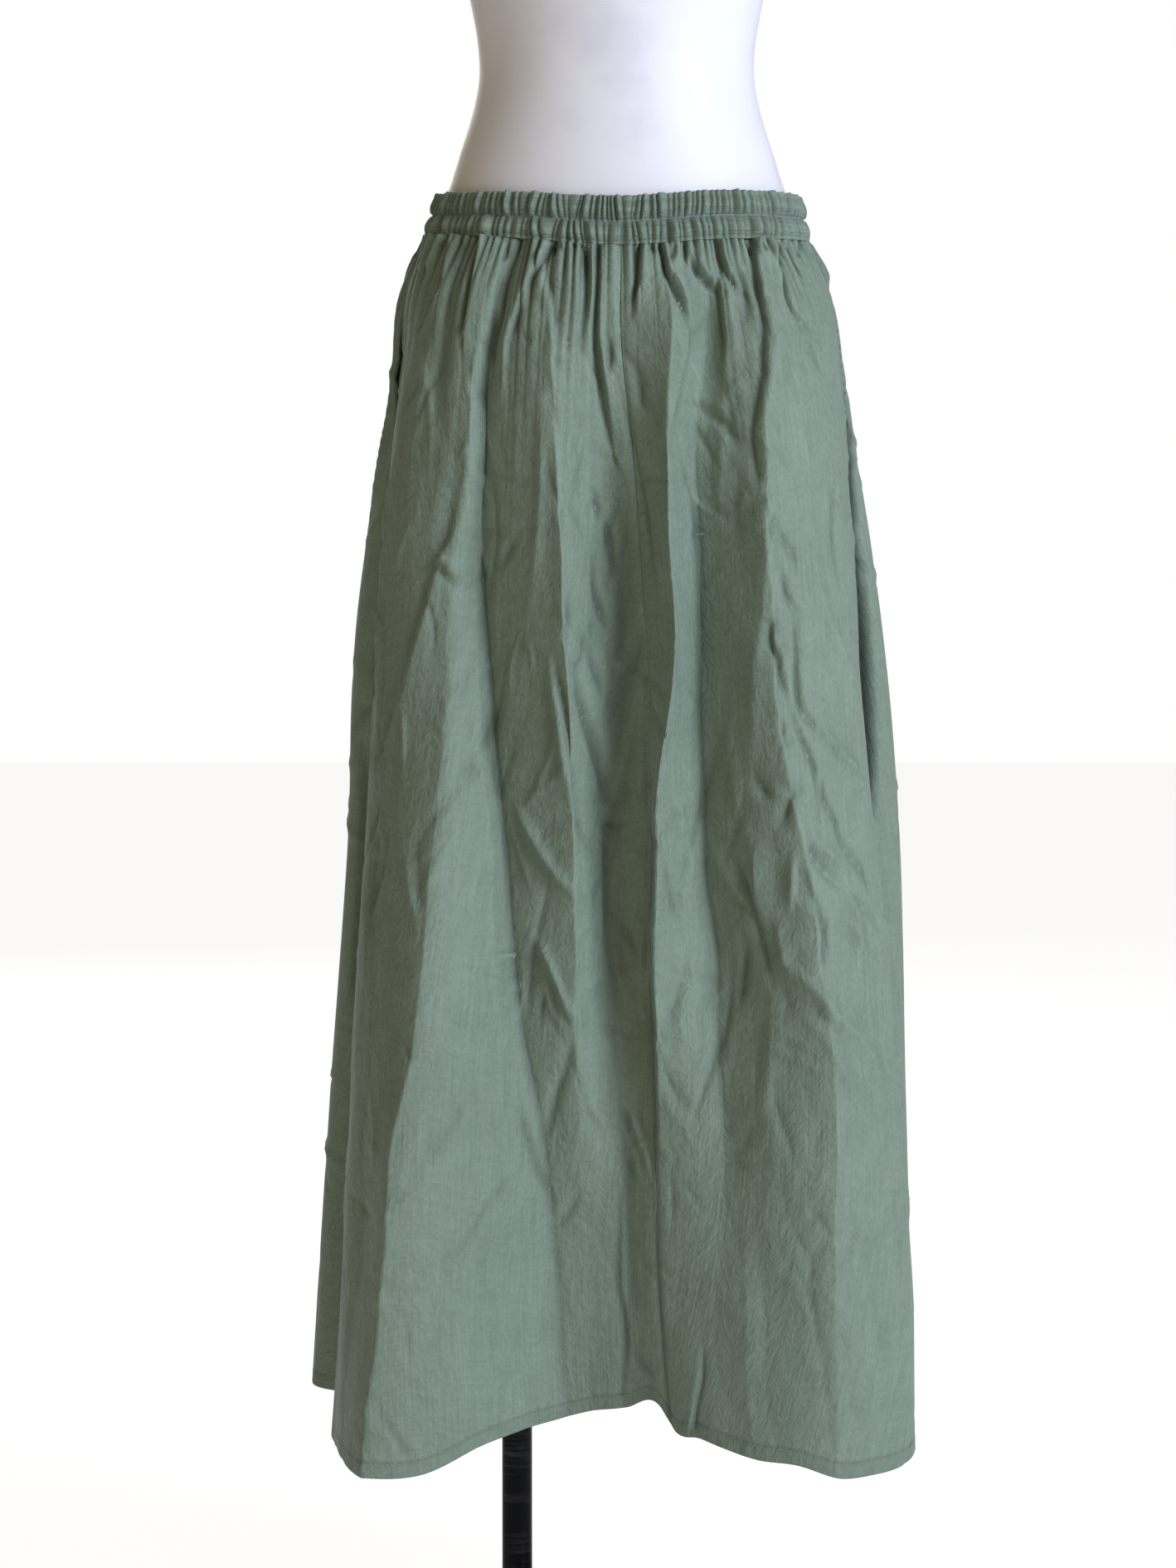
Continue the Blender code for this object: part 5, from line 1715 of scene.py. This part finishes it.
@dataclass(frozen=True)
class Waistband:
    """Casing with two rows of elastic: two rows of ribs, pinched between by a seam."""

    name: str = "band_casing"
    node: str = "waistband"
    columns: int = 1480
    outer_rows: int = 50
    inner_rows: int = 9
    wall: float = 2.2 * MM
    upper: Ribs = Ribs(seed=11, count=148, unevenness=0.70)
    lower: Ribs = Ribs(seed=31, count=122, unevenness=0.75)
    rib_rise: float = 3.3 * MM
    pinch_depth: float = 1.1 * MM
    pinch_width: float = 0.035         # as a share of the band's height
    ruffle: float = 0.7 * MM
    lean: float = 0.042                # how far the ribs slant over the band's height, rad
    slants: SoftNoise = SoftNoise(seed=17, around=46, tall=2.0)
    # painted shade in the band's gathers: the depth that counts as full shade, and the share of it
    # painted
    shade_depth: float = 1.1 * MM
    shade_share: float = 0.4

    def outer(self, angle: Array, rise: Array) -> tuple[Array, Array]:
        """Outer points and outward directions at angles and shares of the height.

        Args:
            angle, rise: Grids of the same shape.

        Returns:
            Points and directions.
        """
        sizes = read_table(BAND_ROWS, ("left", "right", "front", "back"), rise)
        x, y, out_x, out_y, _ = ring(angle, *sizes, 2.0 * np.ones_like(angle))
        foot = SkirtShape.line(WAIST_LINE, "seam", angle)
        tall = SkirtShape.line(WAIST_LINE, "top", angle) - foot
        slant = self.lean * self.slants.at(angle, 0.5 * np.ones_like(angle))
        top_ribs, _ = self.upper.at(angle + slant * (rise - 0.5) * 2.0)
        low_ribs, _ = self.lower.at(angle - slant * rise * 2.0)
        share = smooth_step(0.45, 0.55, rise)
        strength = 0.35 + 0.65 * np.abs(np.sin(2.0 * math.pi * np.clip(rise, 0.0, 1.0))) ** 0.6
        strength = np.where(rise > 0.75, np.maximum(strength, 0.8), strength)
        strength = np.where(rise < 0.1, np.maximum(strength, 0.7), strength)
        ribs = top_ribs * share + low_ribs * (1.0 - share)
        push = self.rib_rise * (ribs - 0.6) * strength
        push -= self.pinch_depth * bell(rise - 0.5, self.pinch_width)
        lift = self.ruffle * (top_ribs - 0.6) * smooth_step(0.8, 1.0, rise)
        height = foot + tall * rise + lift
        points = np.stack([x + out_x * push, y + out_y * push, height], axis=-1)
        return points, np.stack([out_x, out_y, np.zeros_like(out_x)], axis=-1)

    def build(self, finish: Finish) -> Piece:
        """Make the closed casing, up its outside, over the top and down its inside.

        Args:
            finish: The cloth.

        Returns:
            The piece.
        """
        over = np.linspace(math.pi, 0.0, 6)[1:-1]
        shown = len(over) + self.outer_rows
        rises = np.concatenate([np.ones_like(over), np.linspace(1.0, 0.0, self.outer_rows),
                                np.linspace(0.0, 1.0, self.inner_rows)])
        insets = np.concatenate([0.5 * self.wall * (1.0 - np.cos(over)), np.zeros(self.outer_rows),
                                 np.full(self.inner_rows, self.wall)])
        lifts = np.zeros(len(rises))
        lifts[:len(over)] = 0.5 * self.wall * np.sin(over)
        angle, rise = np.meshgrid(full_turn(self.columns), rises)
        points, out = self.outer(angle, rise)
        points = points - out * insets[:, None, None]
        points[..., 2] += lifts[:, None]
        # painted shade in the gathers, on the band's outside only
        hollow = self.shade_share * painted_shade_of(points, out, 4, self.shade_depth)
        hollow[shown:] = 0.0
        piece = ring_solid(self.name, points, finish, False, thread_of(points).reshape(-1, 2),
                           hollow)
        return settle(piece, Slot.CLOTH, self.node)


@dataclass(frozen=True)
class PocketPouch:
    """Flat two-layer pocket bag that hangs inside a front panel from the side seam."""

    name: str
    node: str
    seam: tuple[float, ...]
    side: Side
    top: float = 1.031
    bottom: float = 0.820
    reach: float = 0.120
    start: float = 5.0 * MM
    foot_share: float = 0.55
    depth: float = 4.2 * MM
    thick: float = 2.8 * MM
    rows: int = 40
    columns: int = 30

    def build(self, shape: SkirtShape, finish: Finish) -> Piece:
        """Make the pouch as two layers that swell apart and meet all round.

        Args:
            shape: The skirt's shape.
            finish: The cloth.

        Returns:
            The piece.
        """
        heights = np.linspace(self.top, self.bottom, self.rows)
        edge = turned(shape.angle_at(self.seam, heights))
        drops = shape.drop(heights)
        radius = np.linalg.norm(shape.plain(edge, drops)[0][:, :2], axis=-1)
        rise = (heights - self.bottom) / (self.top - self.bottom)
        curve = np.sin(np.pi * np.clip(rise, 0.0, 0.5))
        way = self.side.value
        near = edge - way * self.start / radius
        share = self.foot_share + (1.0 - self.foot_share) * curve
        far = edge - way * self.reach * share / radius
        low, high = (near, far) if way < 0 else (far, near)
        across = np.linspace(0.0, 1.0, self.columns)
        angle = low[:, None] + (high - low)[:, None] * across
        drop = np.repeat(drops[:, None], self.columns, axis=1)
        points, _ = shape.plain(angle, drop)
        normal = shape.normal(angle, drop)
        swell = (np.sin(np.pi * across)[None, :] ** 0.5
                 * np.sin(np.pi * np.linspace(0.0, 1.0, self.rows))[:, None] ** 0.5)
        middle = self.depth + 0.5 * self.thick
        half = 0.2 * MM + 0.5 * self.thick * swell
        front = points - normal * (middle - half)[..., None]
        back = points - normal * (middle + half)[..., None]
        count = self.rows * self.columns
        faces = grid_quads(self.rows, self.columns).tolist()
        faces += grid_quads(self.rows, self.columns, count, flipped=True).tolist()
        number = np.arange(count).reshape(self.rows, self.columns)
        faces += sheet_rim(number, number + count)
        thread = thread_of(front)
        piece = make_object(self.name, np.concatenate([front.reshape(-1, 3), back.reshape(-1, 3)]),
                            faces, finish, np.concatenate([thread.reshape(-1, 2)] * 2))
        return settle(piece, Slot.CLOTH, self.node)


@dataclass(frozen=True)
class Stitching:
    """A row of stitches laid along a line on the cloth, joined into one mesh."""

    name: str
    pitch: float = 3.0 * MM
    long: float = 2.3 * MM
    thick: float = 0.22 * MM

    def build(self, lines: Sequence[tuple[Array, Array]],
              finish: Finish) -> Piece:
        """Lay stitches along lines of (points, outward directions).

        Each stitch is a small closed grain: three rings of six points and two tips.

        Args:
            lines: The lines.
            finish: The thread's material.

        Returns:
            The piece.
        """
        rings = ((-0.3, 0.8), (0.0, 1.0), (0.3, 0.8))
        template = np.array([(-0.5, 0.0, 0.0), *(
            (end, size * math.cos(a), size * math.sin(a)) for end, size in rings
            for a in full_turn(6)), (0.5, 0.0, 0.0)])
        faces = [(0, 1 + (k + 1) % 6, 1 + k) for k in range(6)]
        for ring_number in range(2):
            low, high = 1 + 6 * ring_number, 7 + 6 * ring_number
            faces += [(low + k, low + (k + 1) % 6, high + (k + 1) % 6, high + k) for k in range(6)]
        faces += [(13 + k, 13 + (k + 1) % 6, 19) for k in range(6)]
        points = []
        for line, out in lines:
            lengths = lengths_along(np.diff(line, axis=0), 0)
            marks = np.arange(0.5 * self.pitch, lengths[-1], self.pitch)

            def read(curve: Array, shift: float = 0.0) -> Array:
                """Points of a curve at every stitch, or a little along from it."""
                return np.stack([np.interp(marks + shift, lengths, curve[:, axis])
                                 for axis in range(3)], axis=-1)

            ahead = direction(read(line, 0.5 * self.long) - read(line, -0.5 * self.long))
            across = direction(np.cross(ahead, read(out)))
            up = np.cross(across, ahead)
            made = (read(line)[:, None] + ahead[:, None] * (template[:, 0, None] * self.long)
                    + across[:, None] * (template[:, 1, None] * 1.3 * self.thick)
                    + up[:, None] * (template[:, 2, None] * self.thick))
            points.append(made.reshape(-1, 3))
        whole = np.concatenate(points)
        all_faces = [tuple(start + corner for corner in face)
                     for start in range(0, len(whole), len(template)) for face in faces]
        piece = make_object(self.name, whole, all_faces, finish, whole[:, [0, 2]])
        return settle(piece, Slot.CLOTH)


@dataclass(frozen=True)
class Skirt:
    """The whole garment: three panels, two pocket pouches, the band and its stitching."""

    shape: SkirtShape = SkirtShape()
    stitch_height: float = 8.5 * MM
    line_points: int = 700

    def panels(self) -> tuple[Panel, ...]:
        """The three panels between the centre seam and the two side seams.

        Returns:
            The panels, left to right and then the back.
        """
        left_front = tuple(mark - 360.0 for mark in LEFT_SEAM)
        return (
            Panel("front_left_panel", "skirt_front_left", left_front, CENTRE_SEAM,
                  Cut(0.47, 0.89, 0.31), mouth_first=True),
            Panel("front_right_panel", "skirt_front_right", CENTRE_SEAM, RIGHT_SEAM,
                  Cut(0.34, 0.89, 0.26), mouth_last=True),
            Panel("back_panel", "skirt_back", RIGHT_SEAM, LEFT_SEAM,
                  Cut(1.00, 0.90, 0.63), mouth_first=True, mouth_last=True),
        )

    def hem_line(self, panel: Panel) -> tuple[Array, Array]:
        """Line of the hem's stitching across a panel, with outward directions.

        Args:
            panel: The panel.

        Returns:
            Points and directions.
        """
        drop = np.full(1, 1.0 - self.stitch_height / self.shape.length)
        first, last = panel.edge_angles(self.shape, drop)
        angle = np.linspace(first[0], last[0], self.line_points)
        return self.shape.outside(angle, np.full(self.line_points, drop[0]))

    def build(self) -> None:
        """Make every piece of the garment."""
        cloth = ClothFinish().build()
        for panel in self.panels():
            piece = panel.build(self.shape, cloth)
        band = Waistband().build(cloth)
        for name, node, seam, side in (
                ("pocket_pouch_left", "pocket_bag_left", LEFT_SEAM, Side.LEFT),
                ("pocket_pouch_right", "pocket_bag_right", RIGHT_SEAM, Side.RIGHT)):
            pouch = PocketPouch(name, node, seam, side).build(self.shape, cloth)
        lines = [self.hem_line(panel) for panel in self.panels()]
        Stitching("hem_stitches").build(lines, cloth)


# ------------------------------------------------------- the form and its stand
@dataclass(frozen=True)
class DressForm:
    """Limbless torso with a capped neck, a socket, a pole and a round base."""

    rows: int = 170
    columns: int = 200
    ease: float = 6.0 * MM
    cap_height: float = 12.0 * MM
    pole_x: float = -0.0745
    pole_y: float = 0.020
    pole_radius: float = 11.3 * MM
    base_radius: float = 0.180
    base_height: float = 8.0 * MM
    collar_radius: float = 20.0 * MM
    collar_height: float = 26.0 * MM
    socket_radius: float = 26.0 * MM
    socket_height: float = 22.0 * MM
    gap: float = 0.3 * MM

    def torso(self) -> Array:
        """Grid of points on the form's sections, from the neck down, its foot eased.

        Returns:
            Points, a ring in each row.
        """
        foot = FORM_SECTIONS[0].height
        heights = np.linspace(FORM_SECTIONS[-1].height, foot, self.rows)
        width, front, back, square = read_table(
            FORM_SECTIONS, ("half_width", "front", "back", "square"), heights)
        low = np.clip(1.0 - (heights - foot) / self.ease, 0.0, 1.0)
        shrink = self.ease * (1.0 - np.sqrt(1.0 - low ** 2))
        width, front, back = [(size - shrink)[:, None] for size in (width, front, back)]
        x, y, _, _, _ = ring(full_turn(self.columns), width, width, front, back, square[:, None])
        return np.stack([x, y, np.repeat(heights[:, None], self.columns, axis=1)], axis=-1)

    def sleeve(self, radius: float, low: float, height: float) -> Array:
        """Collar round the pole: an eased block with the pole's bore through it.

        Args:
            radius: Outer radius.
            low: Height of its foot.
            height: Its own height.

        Returns:
            Points, a ring in each row.
        """
        bore = self.pole_radius + self.gap
        high = low + height
        profile = rounded((radius, low), (radius, high), 1.5 * MM)[::-1]
        profile += [(bore, low + 0.5 * MM), (bore, high - 0.5 * MM)]
        return lathe(self.pole_x, self.pole_y, profile)

    def build(self) -> None:
        """Make the form, its cap and the stand."""
        top = FORM_SECTIONS[-1]
        foot = self.base_height + self.gap
        form_foot = FORM_SECTIONS[0].height - self.gap
        black = PaintFinish("pole_black", (0.002, 0.002, 0.003), 0.25, 0.5 * MM, 0.12).build()
        plate = PaintFinish("base_black", (0.020, 0.020, 0.022), 0.42, 0.05 * MM).build()
        radius = 0.5 * (top.half_width + top.front)
        cap_foot = top.height + self.gap
        cap = rounded((radius, cap_foot), (radius, cap_foot + self.cap_height), 3.0 * MM)
        base = rounded((self.base_radius, 0.0), (self.base_radius, self.base_height), 1.5 * MM)
        pole = [(self.pole_radius, height) for height in np.linspace(foot, form_foot, 60)[::-1]]
        for name, grid, finish, capped, slot, node in (
                ("form_body", self.torso(), ShellFinish().build(), True, Slot.SHELL, "form_torso"),
                ("neck_plate", lathe(0.0, 0.5 * (top.back - top.front), cap[::-1]),
                 CapFinish().build(), True, Slot.CAP, "form_neck_cap"),
                ("base_plate", lathe(0.0, 0.0, base[::-1], 160), plate, True, Slot.BASE,
                 "stand_base"),
                ("pole_tube", lathe(self.pole_x, self.pole_y, pole), black, True, Slot.POLE,
                 "stand_pole"),
                ("pole_collar", self.sleeve(self.collar_radius, foot, self.collar_height), black,
                 False, Slot.POLE, "stand_collar"),
                ("pole_socket", self.sleeve(self.socket_radius, form_foot - self.socket_height,
                                            self.socket_height), black, False, Slot.POLE,
                 "form_socket")):
            settle(ring_solid(name, grid, finish, capped), slot, node)


# ------------------------------------------------------------------ the studio
class Lamp(NamedTuple):
    """A soft square light: where it stands, what it looks at, its size, colour and power."""

    name: str
    place: tuple[float, float, float]
    target: tuple[float, float, float]
    size: float
    colour: Colour
    power: float


LAMPS = (
    Lamp("key_light", (3.1, -2.70, 2.35), (0.0, 0.0, 0.65), 2.0, (0.86, 0.97, 1.27), 186.0),
    Lamp("warm_fill", (-2.2, -3.7, 1.4), (0.0, 0.0, 0.65), 1.6, (1.26, 0.97, 0.60), 10.0),
    Lamp("back_light", (-1.2, 4.4, 2.6), (0.0, 0.0, 0.75), 2.0, (1.00, 1.00, 1.00), 60.0),
)


@dataclass(frozen=True)
class Studio:
    """Pale floor, soft lights and the camera."""

    floor_half: float = 14.0
    camera_place: tuple[float, float, float] = (-0.021, -2.8, 0.806)
    tilt_down: float = math.radians(3.08)
    lens: float = 86.7
    sensor: float = 36.0
    air: Colour = (1.12, 0.945, 0.66)
    air_strength: float = 0.155

    def build(self) -> None:
        """Make the floor, the lights, the world and the camera."""
        self.floor()
        for lamp in LAMPS:
            self.light(lamp)
        self.world()
        self.camera()

    def floor(self) -> None:
        """Lay a level floor just under the base."""
        half = self.floor_half
        corners = np.array([(-half, -half, 0.0), (half, -half, 0.0), (half, half, 0.0),
                            (-half, half, 0.0)]) - (0.0, 0.0, 0.2 * MM)
        floor = make_object("studio_floor", corners, [(0, 1, 2, 3)], FloorFinish().build())

    @staticmethod
    def stand(name: str, data: Any, place: tuple[float, float, float]) -> Piece:
        """Put a light or the camera in its place.

        Args:
            name: Its name.
            data: The light's or camera's data.
            place: Where it stands.

        Returns:
            The new object.
        """
        made = bpy.data.objects.new(name, data)
        made.location = place
        bpy.context.scene.collection.objects.link(made)
        return made

    def light(self, lamp: Lamp) -> None:
        """Hang one soft light.

        Args:
            lamp: The light.
        """
        data = bpy.data.lights.new(lamp.name, "AREA")
        data.shape = "SQUARE"
        data.size = lamp.size
        data.color = lamp.colour
        data.energy = lamp.power
        aim = Vector(lamp.target) - Vector(lamp.place)
        made = self.stand(lamp.name, data, lamp.place)
        made.rotation_euler = aim.to_track_quat("-Z", "Y").to_euler()

    def world(self) -> None:
        """Fill the room with a warm dim light behind a white backdrop."""
        world = bpy.data.worlds.new("studio")
        bpy.context.scene.world = world
        world.use_nodes = True
        nodes, links = world.node_tree.nodes, world.node_tree.links
        nodes.clear()
        air = nodes.new("ShaderNodeBackground")
        air.inputs["Color"].default_value = (*self.air, 1.0)
        air.inputs["Strength"].default_value = self.air_strength
        backdrop = nodes.new("ShaderNodeBackground")
        backdrop.inputs["Color"].default_value = (1.0, 1.0, 1.0, 1.0)
        path = nodes.new("ShaderNodeLightPath")
        mix = nodes.new("ShaderNodeMixShader")
        out = nodes.new("ShaderNodeOutputWorld")
        links.new(path.outputs["Is Camera Ray"], mix.inputs[0])
        links.new(air.outputs[0], mix.inputs[1])
        links.new(backdrop.outputs[0], mix.inputs[2])
        links.new(mix.outputs[0], out.inputs["Surface"])

    def camera(self) -> None:
        """Stand the camera in front, level with the skirt's knee and tilted slightly down."""
        data = bpy.data.cameras.new("camera")
        data.sensor_width = self.sensor
        data.lens = self.lens
        made = self.stand("camera", data, self.camera_place)
        made.rotation_euler = (0.5 * math.pi - self.tilt_down, 0.0, 0.0)
        bpy.context.scene.camera = made
        bpy.context.scene.view_settings.view_transform = "Standard"


def main() -> None:
    """Build the garment, the form and the studio."""
    logging.basicConfig(level=logging.INFO, format="%(name)s: %(message)s")
    Studio().build()
    DressForm().build()
    Skirt().build()


if __name__ == "__main__":
    main()
